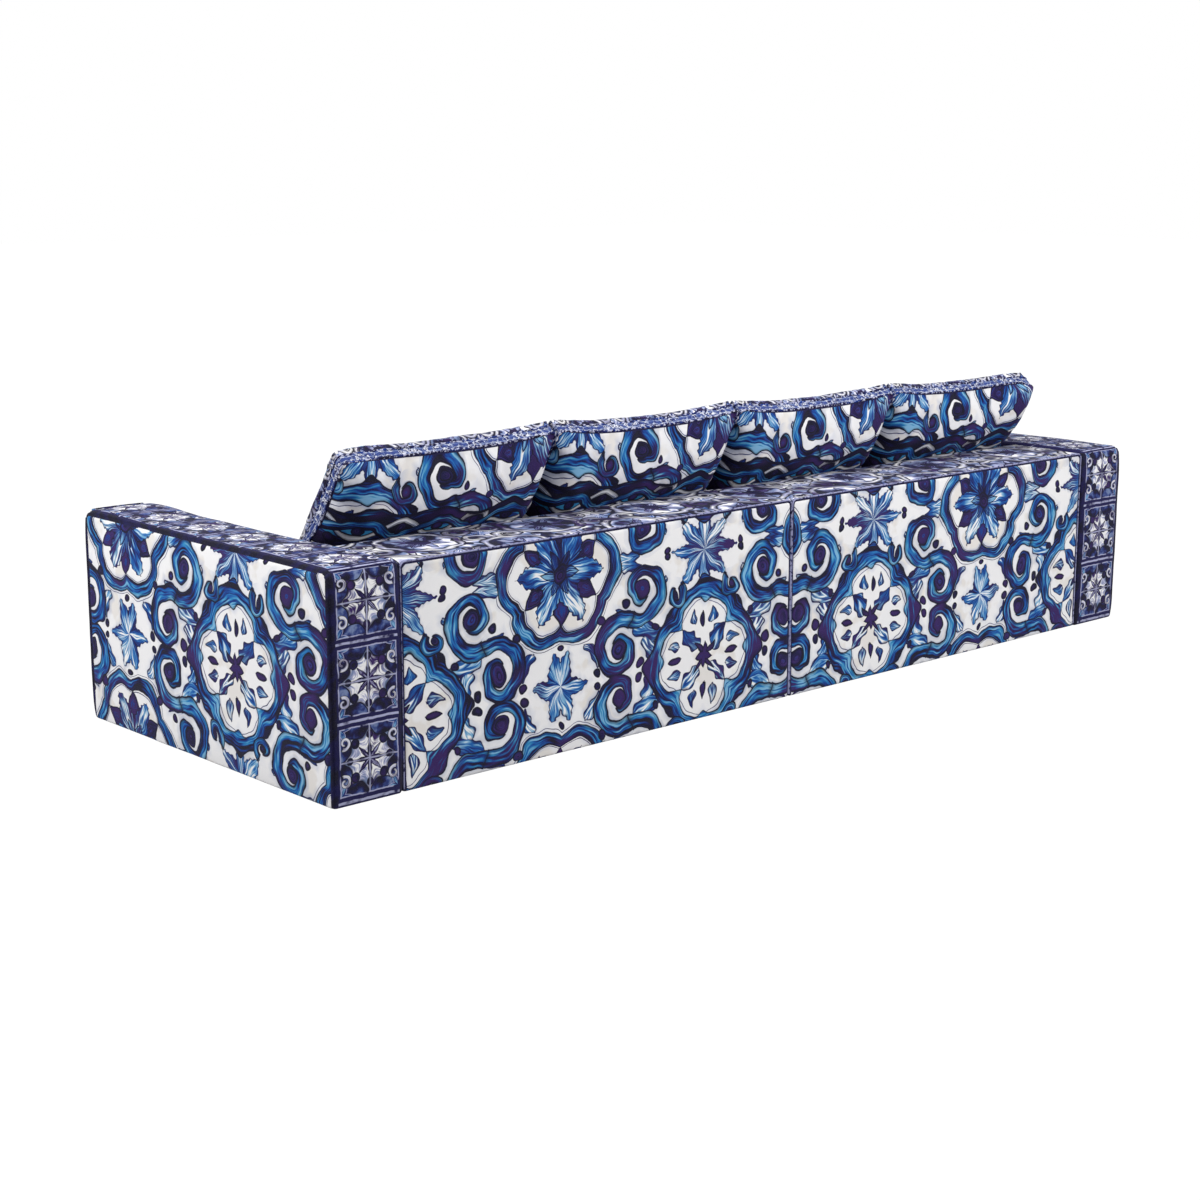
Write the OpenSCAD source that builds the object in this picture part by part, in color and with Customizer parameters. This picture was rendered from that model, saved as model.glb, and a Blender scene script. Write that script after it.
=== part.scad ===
// Long low sofa in two halves that bolt together in the middle.
// The front faces -Y and the floor is at z = 0. Left and right are as seen from in front, so right is +X.
// The right half is drawn, and the left half is its mirror image.

/* [Overall] */
// Width over both arms
sofa_w = 3290; // [2700:10:3900]
// Depth from the front of the arms to their rear faces
sofa_d = 1180; // [1060:10:1400]
// Height of the arms above the floor
arm_h = 606; // [560:2:700]
// Width of an arm
arm_w = 216; // [160:2:300]
// Depth of the wide back
back_t = 308; // [240:2:360]
// How far the back's top lies below the arms
back_drop = 6; // [0:1:30]
// How far the back's rear face lies inside the arms' rear faces
back_inset = 3; // [3:1:12]
// Gap between covered parts that stand side by side
part_gap = 2; // [1:0.5:6]

/* [Covers and padding] */
// Thickness of a sewn cover with its lining
cover_t = 3; // [2:0.5:6]
// Thickness of the foam between frame and cover
pad_t = 20; // [12:1:30]
// Radius of an arm's top edges
arm_edge_r = 26; // [12:1:40]
// Radius of an arm's upright edges
arm_upright_r = 18; // [8:1:40]
// Radius of the back's front top edge, where the cushions lean
ledge_r = 30; // [14:1:60]
// Radius of the back's piped rear edges
panel_edge_r = 12; // [10:1:20]
// Radius of the back's top corners as seen from behind
panel_corner_r = 20; // [14:1:40]
// Radius of the covers' bottom edges
foot_r = 8; // [5:1:15]
// Radius of the piping cord
piping_r = 3; // [2:0.5:4]

/* [Seat] */
// Height of the platform under the seat cushions
deck_h = 256; // [220:2:300]
// How far the base's front lies behind the arms' fronts
front_set = 10; // [2:1:40]
// Height of a seat cushion's border
seat_border = 130; // [90:2:180]
// Rise of a seat cushion's top panel
seat_crown = 40; // [20:1:60]
// Gap between neighbouring cushions
cushion_gap = 3; // [2:0.5:10]

/* [Back cushions] */
// Length of a back cushion along its lean
back_cushion_len = 504; // [420:2:560]
// Width of a back cushion's border band
back_border = 48; // [35:1:70]
// Swell of a back cushion's rear panel
rear_crown = 78; // [40:1:90]
// Swell of a back cushion's front panel
front_crown = 62; // [30:1:80]
// Lean of the back cushions from upright
lean = 35; // [28:1:40]

/* [Frame] */
// Thickness of the base's hardwood rails
rail_t = 25; // [18:1:40]
// Thickness of the boards in the arm and back frames
board_t = 18; // [15:1:25]
// Thickness of the plywood panels
panel_t = 9; // [6:1:12]
// Height of the glides under the covers
glide_h = 6; // [4:1:15]
// Width of a webbing strap
strap_w = 50; // [40:2:70]
// Radius of a frame bolt's shank
bolt_r = 4; // [3:0.5:5]
// Radius of a bolt that joins the halves
connector_r = 5; // [4:0.5:6]

/* [Hidden] */
$fn = 48;
// Overrun of every cut past the face that it opens
cut = 1;
// Clearance of a soft part from what it lies on
soft_clear = 0.3;
// Clearance of the piping in its groove
groove_clear = 0.6;

// Places of the covered parts
half_w = sofa_w / 2;
half_d = sofa_d / 2;
seam_x = part_gap / 2;
arm_in_x = half_w - arm_w;
side_x = arm_in_x - part_gap;
back_in_y = half_d - back_t;
back_out_y = half_d - back_inset;
back_top = arm_h - back_drop;
base_front_y = -half_d + front_set;
base_rear_y = back_in_y - part_gap;
skin = cover_t + pad_t;

// Base: the layers from the platform cloth down to the rails
front_pad_t = 25;
deck_cover_t = 2;
deck_pad_t = 12;
strap_t = 2;
dust_t = 1;
rail_y0 = base_front_y + front_pad_t;
rail_z0 = glide_h + dust_t;
pad_z = deck_h - deck_cover_t - deck_pad_t;
rail_top = pad_z - 2 * strap_t;
bearer_h = 60;
bearer_drop = 80;
bearer_count = 2;
strap_gap = 62;
front_edge_r = 12;
glide_r = 22;
glide_set = 80;

// Bolts: the frame bolts run out of the base into the arm and the back
bolt_clear = 0.3;
bolt_bite = 45;
bolt_head_r = 7;
bolt_head_h = 5;
bolt_z_shares = [0.25, 0.75];
upright_count = 4;
plate_w = 60;
plate_t = 4;
connector_head_r = 9;
connector_head_h = 7;
connector_y_shares = [0.2, 0.8];

// Cushions
cushion_pitch = arm_in_x / 2;
cushion_w = cushion_pitch - cushion_gap;
seat_y0 = -half_d + part_gap;
seat_y1 = back_in_y - cushion_gap;
seat_len = seat_y1 - seat_y0;
seat_mid_y = (seat_y0 + seat_y1) / 2;
edge_draw = 8;
border_bulge = 4;
seat_foot_round = 12;
seat_foot_share = 0.97;
wrap_t = 18;
core_skin = 5;
side_steps = 10;
rim_steps = 4 * side_steps;
corner_power = 30;
swell_power = 0.45;
panel_shares = [0.25, 0.5, 0.7, 0.85, 0.95];
settle_steps = 8;

module half(side) { mirror([side < 0 ? 1 : 0, 0, 0]) children(); }

// Box from corner lo to corner hi
module block(lo, hi) { translate(lo) cube(hi - lo); }

// Rectangle with its own radius at each corner: low left, low right, high right, high left
module outline(lo, hi, r) {
    polygon([
        [lo.x + r[0], lo.y], [hi.x - r[1], lo.y], [hi.x, lo.y + r[1]], [hi.x, hi.y - r[2]],
        [hi.x - r[2], hi.y], [lo.x + r[3], hi.y], [lo.x, hi.y - r[3]], [lo.x, lo.y + r[0]]
    ]);
    translate([lo.x + r[0], lo.y + r[0]]) circle(r[0]);
    translate([hi.x - r[1], lo.y + r[1]]) circle(r[1]);
    translate([hi.x - r[2], hi.y - r[2]]) circle(r[2]);
    translate([lo.x + r[3], hi.y - r[3]]) circle(r[3]);
}

// Box whose edges are rounded by three outlines: seen along Y, along X and from above
module soft_box(lo, hi, front_r, side_r, plan_r) {
    intersection() {
        translate([0, hi.y, 0]) rotate([90, 0, 0])
            linear_extrude(hi.y - lo.y) outline([lo.x, lo.z], [hi.x, hi.z], front_r);
        translate([lo.x, 0, 0]) rotate([90, 0, 90])
            linear_extrude(hi.x - lo.x) outline([lo.y, lo.z], [hi.y, hi.z], side_r);
        translate([0, 0, lo.z])
            linear_extrude(hi.z - lo.z) outline([lo.x, lo.y], [hi.x, hi.y], plan_r);
    }
}

function shrink(r, t) = [for (v = r) max(v - t, t)];

// Cloth or foam of thickness t over a soft box, open at the bottom
module soft_shell(lo, hi, t, front_r, side_r, plan_r) {
    difference() {
        soft_box(lo, hi, front_r, side_r, plan_r);
        soft_box(lo + [t, t, -t], hi - [t, t, t], shrink(front_r, t), shrink(side_r, t), shrink(plan_r, t));
    }
}

// Corners and edge radii of the arm and the back
arm_lo = [arm_in_x, -half_d, glide_h];
arm_hi = [half_w, half_d, arm_h];
arm_front_r = [foot_r, foot_r, arm_edge_r, arm_edge_r];
arm_side_r = [foot_r, foot_r, arm_edge_r, arm_edge_r];
arm_plan_r = [arm_upright_r, arm_upright_r, arm_upright_r, arm_upright_r];
back_lo = [seam_x, back_in_y, glide_h];
back_hi = [side_x, back_out_y, back_top];
back_front_r = [foot_r, foot_r, panel_corner_r, panel_corner_r];
back_side_r = [foot_r, foot_r, panel_edge_r, ledge_r];
back_plan_r = [panel_edge_r, panel_edge_r, panel_edge_r, panel_edge_r];

// Height between the base's rails' bottom and top, and length between front and rear
function base_z(share) = rail_z0 + share * (rail_top - rail_z0);
function base_y(share) = rail_y0 + share * (base_rear_y - rail_y0);

// Middles of the uprights in the arm, along Y, and in the back, along X
function upright_y(k) = let (a = arm_lo.y + skin + board_t / 2, b = arm_hi.y - skin - board_t / 2)
    a + (b - a) * k / (upright_count - 1);
function upright_x(k) = let (a = back_lo.x + skin + board_t / 2, b = back_hi.x - skin - board_t / 2)
    a + (b - a) * k / (upright_count - 1);

// Shanks of the frame bolts, r thick: the first set goes into the arm, the second into the back
module bolt_shanks(r) {
    for (k = [1:upright_count - 2], s = bolt_z_shares) {
        if (upright_y(k) < base_rear_y - rail_t - bolt_head_r)
            translate([side_x - rail_t, upright_y(k), base_z(s)]) rotate([0, 90, 0])
                cylinder(r = r, h = rail_t + part_gap + skin + panel_t + bolt_bite);
        translate([upright_x(k), base_rear_y - rail_t, base_z(s)]) rotate([-90, 0, 0])
            cylinder(r = r, h = rail_t + part_gap + skin + panel_t + bolt_bite);
    }
}

module bolt_heads() {
    for (k = [1:upright_count - 2], s = bolt_z_shares) {
        if (upright_y(k) < base_rear_y - rail_t - bolt_head_r)
            translate([side_x - rail_t - bolt_head_h, upright_y(k), base_z(s)]) rotate([0, 90, 0])
                cylinder(r = bolt_head_r, h = bolt_head_h);
        translate([upright_x(k), base_rear_y - rail_t - bolt_head_h, base_z(s)]) rotate([-90, 0, 0])
            cylinder(r = bolt_head_r, h = bolt_head_h);
    }
}

module frame_bolts() {
    color("silver") {
        bolt_shanks(bolt_r);
        bolt_heads();
    }
}

module drilled() {
    difference() {
        children();
        bolt_shanks(bolt_r + bolt_clear);
    }
}

// Base
module front_rail() {
    color("burlywood") block([seam_x, rail_y0, rail_z0], [side_x, rail_y0 + rail_t, rail_top]);
}

module rear_rail() {
    color("burlywood") drilled()
        block([seam_x, base_rear_y - rail_t, rail_z0], [side_x, base_rear_y, rail_top]);
}

module side_rails() {
    color("burlywood") difference() {
        drilled() for (x = [seam_x, side_x - rail_t])
            block([x, rail_y0 + rail_t, rail_z0], [x + rail_t, base_rear_y - rail_t, rail_top]);
        connector_shanks(connector_r + bolt_clear);
    }
}

module cross_bearers() {
    color("burlywood") for (k = [1:bearer_count])
        translate([seam_x + (side_x - seam_x - rail_t) * k / (bearer_count + 1), 0, 0])
            block([0, rail_y0 + rail_t, rail_top - bearer_drop - bearer_h],
                  [rail_t, base_rear_y - rail_t, rail_top - bearer_drop]);
}

// Straps side by side from a to b along one direction: their starts, evenly spaced
function strap_starts(a, b) = let (n = floor((b - a) / (strap_w + strap_gap)))
    [for (k = [0:n - 1]) a + (b - a) * (k + 1 / 2) / n - strap_w / 2];

module webbing_cross() {
    color("dimgray") for (x = strap_starts(seam_x, side_x))
        block([x, rail_y0, rail_top], [x + strap_w, base_rear_y, rail_top + strap_t]);
}

module webbing_long() {
    color("gray") for (y = strap_starts(rail_y0, base_rear_y))
        block([seam_x, y, rail_top + strap_t], [side_x, y + strap_w, pad_z]);
}

module deck_pad() {
    color("whitesmoke") block([seam_x, rail_y0, pad_z], [side_x, base_rear_y, pad_z + deck_pad_t]);
}

module deck_cover() {
    color("gainsboro") block([seam_x, rail_y0, deck_h - deck_cover_t], [side_x, base_rear_y, deck_h]);
}

module base_front_cover() {
    color("royalblue") translate([seam_x, 0, 0]) rotate([90, 0, 90]) linear_extrude(side_x - seam_x)
        outline([base_front_y, glide_h], [rail_y0, deck_h], [foot_r, dust_t, dust_t, front_edge_r]);
}

module dust_cover() {
    color("black") block([seam_x, rail_y0, glide_h], [side_x, base_rear_y, rail_z0]);
}

module glides() {
    color("dimgray") for (p = [
        [arm_in_x + arm_w / 2, arm_lo.y + glide_set], [arm_in_x + arm_w / 2, arm_hi.y - glide_set],
        [seam_x + glide_set, base_front_y + glide_set], [seam_x + glide_set, back_hi.y - glide_set]
    ]) translate(p) cylinder(r = glide_r, h = glide_h);
}

// Arm
module arm_frame() {
    lo = arm_lo + [skin + panel_t, skin, 0];
    hi = arm_hi - [skin + panel_t, skin, skin];
    color("burlywood") drilled() {
        block(lo, [hi.x, hi.y, lo.z + board_t]);
        block([lo.x, lo.y, hi.z - board_t], hi);
        for (k = [0:upright_count - 1]) translate([0, upright_y(k) - board_t / 2, 0])
            block([lo.x, 0, lo.z + board_t], [hi.x, board_t, hi.z - board_t]);
    }
}

module arm_panels() {
    lo = arm_lo + [skin, skin, 0];
    hi = arm_hi - [skin, skin, skin];
    color("wheat") drilled() {
        block(lo, [lo.x + panel_t, hi.y, hi.z]);
        block([hi.x - panel_t, lo.y, lo.z], hi);
    }
}

module arm_foam() {
    color("khaki") drilled() difference() {
        soft_box(arm_lo + [cover_t, cover_t, 0], arm_hi - [cover_t, cover_t, cover_t],
            shrink(arm_front_r, cover_t), shrink(arm_side_r, cover_t), shrink(arm_plan_r, cover_t));
        block(arm_lo + [skin, skin, -cut], arm_hi - [skin, skin, skin]);
    }
}

module arm_cover() {
    color("royalblue") drilled()
        soft_shell(arm_lo, arm_hi, cover_t, arm_front_r, arm_side_r, arm_plan_r);
}

// Back
module back_frame() {
    lo = back_lo + [skin, skin + panel_t, 0];
    hi = back_hi - [skin, skin + panel_t, skin];
    color("burlywood") drilled() {
        block(lo, [hi.x, hi.y, lo.z + board_t]);
        block([lo.x, lo.y, hi.z - board_t], hi);
        for (k = [0:upright_count - 1]) translate([upright_x(k) - board_t / 2, 0, 0])
            block([0, lo.y, lo.z + board_t], [board_t, hi.y, hi.z - board_t]);
    }
}

module back_panels() {
    lo = back_lo + [skin, skin, 0];
    hi = back_hi - [skin, skin, skin];
    color("wheat") drilled() {
        block(lo, [hi.x, lo.y + panel_t, hi.z]);
        block([lo.x, hi.y - panel_t, lo.z], hi);
    }
}

module back_foam() {
    color("khaki") drilled() difference() {
        soft_box(back_lo + [cover_t, cover_t, 0], back_hi - [cover_t, cover_t, cover_t],
            shrink(back_front_r, cover_t), shrink(back_side_r, cover_t), shrink(back_plan_r, cover_t));
        block(back_lo + [skin, skin, -cut], back_hi - [skin, skin, skin]);
        piping_run(piping_r + groove_clear, glide_h - cut);
    }
}

module back_cover() {
    color("royalblue") difference() {
        drilled() soft_shell(back_lo, back_hi, cover_t, back_front_r, back_side_r, back_plan_r);
        piping_run(piping_r + groove_clear, glide_h - cut);
    }
}

// Cord round the rear panel, r thick: up one side, across the top and down the other
piping_set = piping_r - seam_x + soft_clear;
piping_bend = panel_corner_r - piping_set;
module piping_run(r, z0) {
    x0 = back_lo.x + piping_set;
    x1 = back_hi.x - piping_set;
    z1 = back_top - piping_set - piping_bend;
    translate([0, back_out_y - piping_set, 0]) {
        for (x = [x0, x1]) translate([x, 0, z0]) cylinder(r = r, h = z1 - z0);
        translate([x0 + piping_bend, 0, z1 + piping_bend]) rotate([0, 90, 0])
            cylinder(r = r, h = x1 - x0 - 2 * piping_bend);
        translate([x1 - piping_bend, 0, z1]) rotate([90, 0, 0])
            rotate_extrude(angle = 90) translate([piping_bend, 0]) circle(r);
        translate([x0 + piping_bend, 0, z1]) rotate([90, 0, 0]) rotate([0, 0, 90])
            rotate_extrude(angle = 90) translate([piping_bend, 0]) circle(r);
    }
}

module back_piping() { color("midnightblue") piping_run(piping_r, glide_h); }

// Bolts that join the halves through both rails at the seam
module connector_shanks(r) {
    for (s = connector_y_shares) translate([-seam_x - rail_t - plate_t, base_y(s), base_z(1 / 2)])
        rotate([0, 90, 0]) cylinder(r = r, h = 2 * (seam_x + rail_t + plate_t));
}

module connector_bolts() {
    color("silver") {
        connector_shanks(connector_r);
        for (s = connector_y_shares, x = [-1, 1])
            translate([x * (seam_x + rail_t + plate_t), base_y(s), base_z(1 / 2)]) rotate([0, x * 90, 0])
                cylinder(r = connector_head_r, h = connector_head_h);
    }
}

module connector_plates() {
    color("gray") difference() {
        for (s = connector_y_shares, x = [-1, 1])
            translate([x * (seam_x + rail_t + plate_t / 2), base_y(s), base_z(1 / 2)])
                cube([plate_t, plate_w, plate_w], center = true);
        connector_shanks(connector_r + bolt_clear);
    }
}

// Unit square's edge, k steps round it, with the steps closer together near the corners
function edge_share(k) = let (t = sin(90 * (2 * (k % side_steps) / side_steps - 1)), s = floor(k / side_steps))
    s == 0 ? [t, -1] : s == 1 ? [1, t] : s == 2 ? [-t, 1] : [-1, -t];
function rounded(p) = p / pow(pow(abs(p.x), corner_power) + pow(abs(p.y), corner_power), 1 / corner_power);
function swell(p) = pow(max(0, (1 - p.x * p.x) * (1 - p.y * p.y)), swell_power);

// One ring of a cushion at share r of its outline: sides drawn in by draw, lifted by its crown
function ring(size, draw, r, z, crown) = [for (k = [0:rim_steps - 1]) let (q = rounded(edge_share(k)))
    [r * q.x * (size.x / 2 - draw * (1 - q.y * q.y)),
     r * q.y * (size.y / 2 - draw * (1 - q.x * q.x)),
     z + crown * swell(r * q)]];

function panel_out(size, z, crown) = [for (r = panel_shares) ring(size, edge_draw, r, z, crown)];
function panel_in(size, z, crown) =
    [for (i = [len(panel_shares) - 1:-1:0]) ring(size, edge_draw, panel_shares[i], z, crown)];

// Closed form through its rings, from the lowest point to the highest
module sewn_form(low, rings, high) {
    n = rim_steps;
    top = 1 + n * len(rings);
    points = concat([[0, 0, low]], [for (a = rings) for (p = a) p], [[0, 0, high]]);
    faces = concat(
        [for (k = [0:n - 1]) [0, 1 + k, 1 + (k + 1) % n]],
        [for (j = [0:len(rings) - 2], k = [0:n - 1]) let (a = 1 + n * j)
            each [[a + k, a + n + k, a + n + (k + 1) % n], [a + k, a + n + (k + 1) % n, a + (k + 1) % n]]],
        [for (k = [0:n - 1]) let (a = top - n) [top, a + (k + 1) % n, a + k]]);
    polyhedron(points, faces);
}

// Seat cushions: flat below, crowned above
seat_size = [cushion_w, seat_len];
module seat_form() {
    sewn_form(0, concat(
        [ring(seat_size, edge_draw, seat_foot_share, 0, 0),
         ring(seat_size, edge_draw, 1, seat_foot_round, 0),
         ring(seat_size, edge_draw - border_bulge, 1, (seat_foot_round + seat_border) / 2, 0),
         ring(seat_size, edge_draw, 1, seat_border, 0)],
        panel_in(seat_size, seat_border, seat_crown)), seat_border + seat_crown);
}

module seat_core_form() {
    size = [for (v = seat_size) v - 2 * (wrap_t + edge_draw)];
    translate([-size.x / 2, -size.y / 2, core_skin]) cube([size.x, size.y, seat_border - 2 * core_skin]);
}

module seat_place(i) { translate([cushion_x(i), seat_mid_y, deck_h + soft_clear]) children(); }

function cushion_x(i) = (i - 5 / 2) * cushion_pitch;

module seat_cushion(i) {
    color("cornflowerblue") seat_place(i) difference() {
        seat_form();
        seat_core_form();
    }
}

module seat_core(i) { color("khaki") seat_place(i) seat_core_form(); }

// Back cushions: crowned on both sides of a narrow border
back_size = [cushion_w, back_cushion_len];
module back_form() {
    sewn_form(-back_border / 2 - rear_crown, concat(
        panel_out(back_size, -back_border / 2, -rear_crown),
        [ring(back_size, edge_draw, 1, -back_border / 2, 0),
         ring(back_size, edge_draw - border_bulge, 1, 0, 0),
         ring(back_size, edge_draw, 1, back_border / 2, 0)],
        panel_in(back_size, back_border / 2, front_crown)), back_border / 2 + front_crown);
}

module back_core_form() {
    size = [for (v = back_size) v - 2 * (wrap_t + edge_draw)];
    cube([size.x, size.y, back_border], center = true);
}

// A back cushion leans with its rear swell on the ledge's rounded edge and its foot on the seat.
// rest_s is its middle's place across the lean, and rest_q, found by steps, its place along the lean.
// rear_s is how far the rear panel lies behind the middle, at share r of the way to the foot's edge.
ledge_y = back_in_y + ledge_r;
ledge_z = back_top - ledge_r;
rest_s = ledge_y * cos(lean) - ledge_z * sin(lean)
    - ledge_r - back_border / 2 - rear_crown - soft_clear;
foot_len = back_cushion_len / 2 - edge_draw;
function rest_y(q) = rest_s * cos(lean) + q * sin(lean);
function rest_z(q) = -rest_s * sin(lean) + q * cos(lean);
function rear_s(r) = back_border / 2 + rear_crown * swell([0, r]);
function seat_top(y) = deck_h + soft_clear + seat_border
    + seat_crown * swell([0, (y - seat_mid_y) / (seat_len / 2 - edge_draw)]);
function settled(q, n) = n == 0 ? q : settled(max([for (r = concat(panel_shares, [1]))
    (seat_top(rest_y(q) - r * foot_len * sin(lean) + rear_s(r) * cos(lean)) + soft_clear
        + (rest_s + rear_s(r)) * sin(lean)) / cos(lean) + r * foot_len]), n - 1);
rest_q = settled(foot_len, settle_steps);

module back_place(i) {
    translate([cushion_x(i), rest_y(rest_q), rest_z(rest_q)]) rotate([90 - lean, 0, 0]) children();
}

module back_cushion(i) {
    color("cornflowerblue") back_place(i) difference() {
        back_form();
        back_core_form();
    }
}

module back_core(i) { color("khaki") back_place(i) back_core_form(); }

half(-1) front_rail();  // left_front_rail
half(-1) rear_rail();  // left_rear_rail
half(-1) side_rails();  // left_side_rails
half(-1) cross_bearers();  // left_cross_bearers
half(-1) webbing_long();  // left_webbing_long
half(-1) webbing_cross();  // left_webbing_cross
half(-1) deck_pad();  // left_deck_pad
half(-1) deck_cover();  // left_deck_cover
half(-1) base_front_cover();  // left_base_front_cover
half(-1) dust_cover();  // left_dust_cover
half(-1) glides();  // left_glides
half(-1) arm_frame();  // left_arm_frame
half(-1) arm_panels();  // left_arm_panels
half(-1) arm_foam();  // left_arm_foam
half(-1) arm_cover();  // left_arm_cover
half(-1) back_frame();  // left_back_frame
half(-1) back_panels();  // left_back_panels
half(-1) back_foam();  // left_back_foam
half(-1) back_cover();  // left_back_cover
half(-1) back_piping();  // left_back_piping
half(-1) frame_bolts();  // left_frame_bolts
half(1) front_rail();  // right_front_rail
half(1) rear_rail();  // right_rear_rail
half(1) side_rails();  // right_side_rails
half(1) cross_bearers();  // right_cross_bearers
half(1) webbing_long();  // right_webbing_long
half(1) webbing_cross();  // right_webbing_cross
half(1) deck_pad();  // right_deck_pad
half(1) deck_cover();  // right_deck_cover
half(1) base_front_cover();  // right_base_front_cover
half(1) dust_cover();  // right_dust_cover
half(1) glides();  // right_glides
half(1) arm_frame();  // right_arm_frame
half(1) arm_panels();  // right_arm_panels
half(1) arm_foam();  // right_arm_foam
half(1) arm_cover();  // right_arm_cover
half(1) back_frame();  // right_back_frame
half(1) back_panels();  // right_back_panels
half(1) back_foam();  // right_back_foam
half(1) back_cover();  // right_back_cover
half(1) back_piping();  // right_back_piping
half(1) frame_bolts();  // right_frame_bolts
connector_bolts();
connector_plates();
seat_cushion(1);  // seat_cushion_1
seat_cushion(2);  // seat_cushion_2
seat_cushion(3);  // seat_cushion_3
seat_cushion(4);  // seat_cushion_4
seat_core(1);  // seat_core_1
seat_core(2);  // seat_core_2
seat_core(3);  // seat_core_3
seat_core(4);  // seat_core_4
back_cushion(1);  // back_cushion_1
back_cushion(2);  // back_cushion_2
back_cushion(3);  // back_cushion_3
back_cushion(4);  // back_cushion_4
back_core(1);  // back_core_1
back_core(2);  // back_core_2
back_core(3);  // back_core_3
back_core(4);  // back_core_4
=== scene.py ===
import math
import bpy
import numpy as np
from mathutils import Matrix, Vector, noise


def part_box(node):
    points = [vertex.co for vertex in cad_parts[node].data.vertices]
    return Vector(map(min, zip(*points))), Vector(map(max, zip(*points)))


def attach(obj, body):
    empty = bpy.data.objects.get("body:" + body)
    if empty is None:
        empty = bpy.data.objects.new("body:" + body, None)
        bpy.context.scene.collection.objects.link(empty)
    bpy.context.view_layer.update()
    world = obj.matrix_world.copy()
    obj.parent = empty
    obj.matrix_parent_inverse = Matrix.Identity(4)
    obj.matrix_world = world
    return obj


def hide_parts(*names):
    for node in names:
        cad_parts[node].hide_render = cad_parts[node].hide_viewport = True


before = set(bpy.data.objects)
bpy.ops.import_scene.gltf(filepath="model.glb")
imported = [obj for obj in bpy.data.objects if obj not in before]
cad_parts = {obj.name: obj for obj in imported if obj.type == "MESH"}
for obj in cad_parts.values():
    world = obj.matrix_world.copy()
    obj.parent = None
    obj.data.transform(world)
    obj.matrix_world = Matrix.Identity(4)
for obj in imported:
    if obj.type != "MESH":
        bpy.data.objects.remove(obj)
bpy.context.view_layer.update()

bpy.ops.object.select_all(action="DESELECT")
bpy.context.tool_settings.mesh_select_mode = (False, True, False)
mm = 0.001
print("frame loaded")


# Camera

shot = {
    "place": (4.489, 4.701, 1.590),
    "heading": 222.206,             # degrees from +Y towards +X
    "dip": 12.016,                  # degrees below the horizon
    "lens": 63.14,
    "sensor": 36,
}


def setCamera():
    heading, dip = math.radians(shot["heading"]), math.radians(shot["dip"])
    ahead = Vector((math.sin(heading) * math.cos(dip), math.cos(heading) * math.cos(dip), -math.sin(dip)))
    bpy.ops.object.camera_add(location=shot["place"])
    camera = bpy.context.object
    camera.rotation_euler = ahead.to_track_quat("-Z", "Y").to_euler()
    camera.data.lens, camera.data.sensor_width = shot["lens"], shot["sensor"]
    bpy.context.scene.camera = camera


setCamera()


# Shader maths

def plug(tree, item, slot):         # a number, a colour, a field or another node's output into a socket
    if isinstance(item, Field):
        item = item.socket
    if isinstance(item, bpy.types.NodeSocket):
        tree.links.new(item, slot)
    else:
        slot.default_value = item


class Field:                        # a value in a shader, so that its maths reads as plain Python
    def __init__(self, tree, socket):
        self.tree, self.socket = tree, socket

    def calc(self, operation, *items, clamp=False):
        made = self.tree.nodes.new("ShaderNodeMath")
        made.operation, made.use_clamp = operation, clamp
        for slot, item in zip(made.inputs, items):
            plug(self.tree, item, slot)
        return Field(self.tree, made.outputs[0])

    def __add__(self, other): return self.calc("ADD", self, other)
    def __radd__(self, other): return self.calc("ADD", other, self)
    def __sub__(self, other): return self.calc("SUBTRACT", self, other)
    def __rsub__(self, other): return self.calc("SUBTRACT", other, self)
    def __mul__(self, other): return self.calc("MULTIPLY", self, other)
    def __rmul__(self, other): return self.calc("MULTIPLY", other, self)
    def __truediv__(self, other): return self.calc("DIVIDE", self, other)
    def __pow__(self, other): return self.calc("POWER", self, other)
    def __mod__(self, other): return self.calc("FLOORED_MODULO", self, other)
    def __neg__(self): return self.calc("MULTIPLY", self, -1)
    def __abs__(self): return self.calc("ABSOLUTE", self)
    def low(self, other): return self.calc("MINIMUM", self, other)
    def high(self, other): return self.calc("MAXIMUM", self, other)
    def sine(self): return self.calc("SINE", self)
    def cosine(self): return self.calc("COSINE", self)
    def before(self, other): return self.calc("LESS_THAN", self, other)
    def root(self): return self.calc("SQRT", self)
    def floor(self): return self.calc("FLOOR", self)
    def fold(self, width): return self.calc("PINGPONG", self, width)
    def angle(self, other): return self.calc("ARCTAN2", self, other)

    def rise(self, start, end):     # 0 before start, 1 after end
        return self.calc("MULTIPLY_ADD", self, 1 / (end - start), -start / (end - start), clamp=True)


def tint(*shown):                   # red, green and blue as a screen shows them, made linear
    return tuple(((c / 255 + 0.055) / 1.055) ** 2.4 if c > 10 else c / 255 / 12.92 for c in shown) + (1,)


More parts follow.
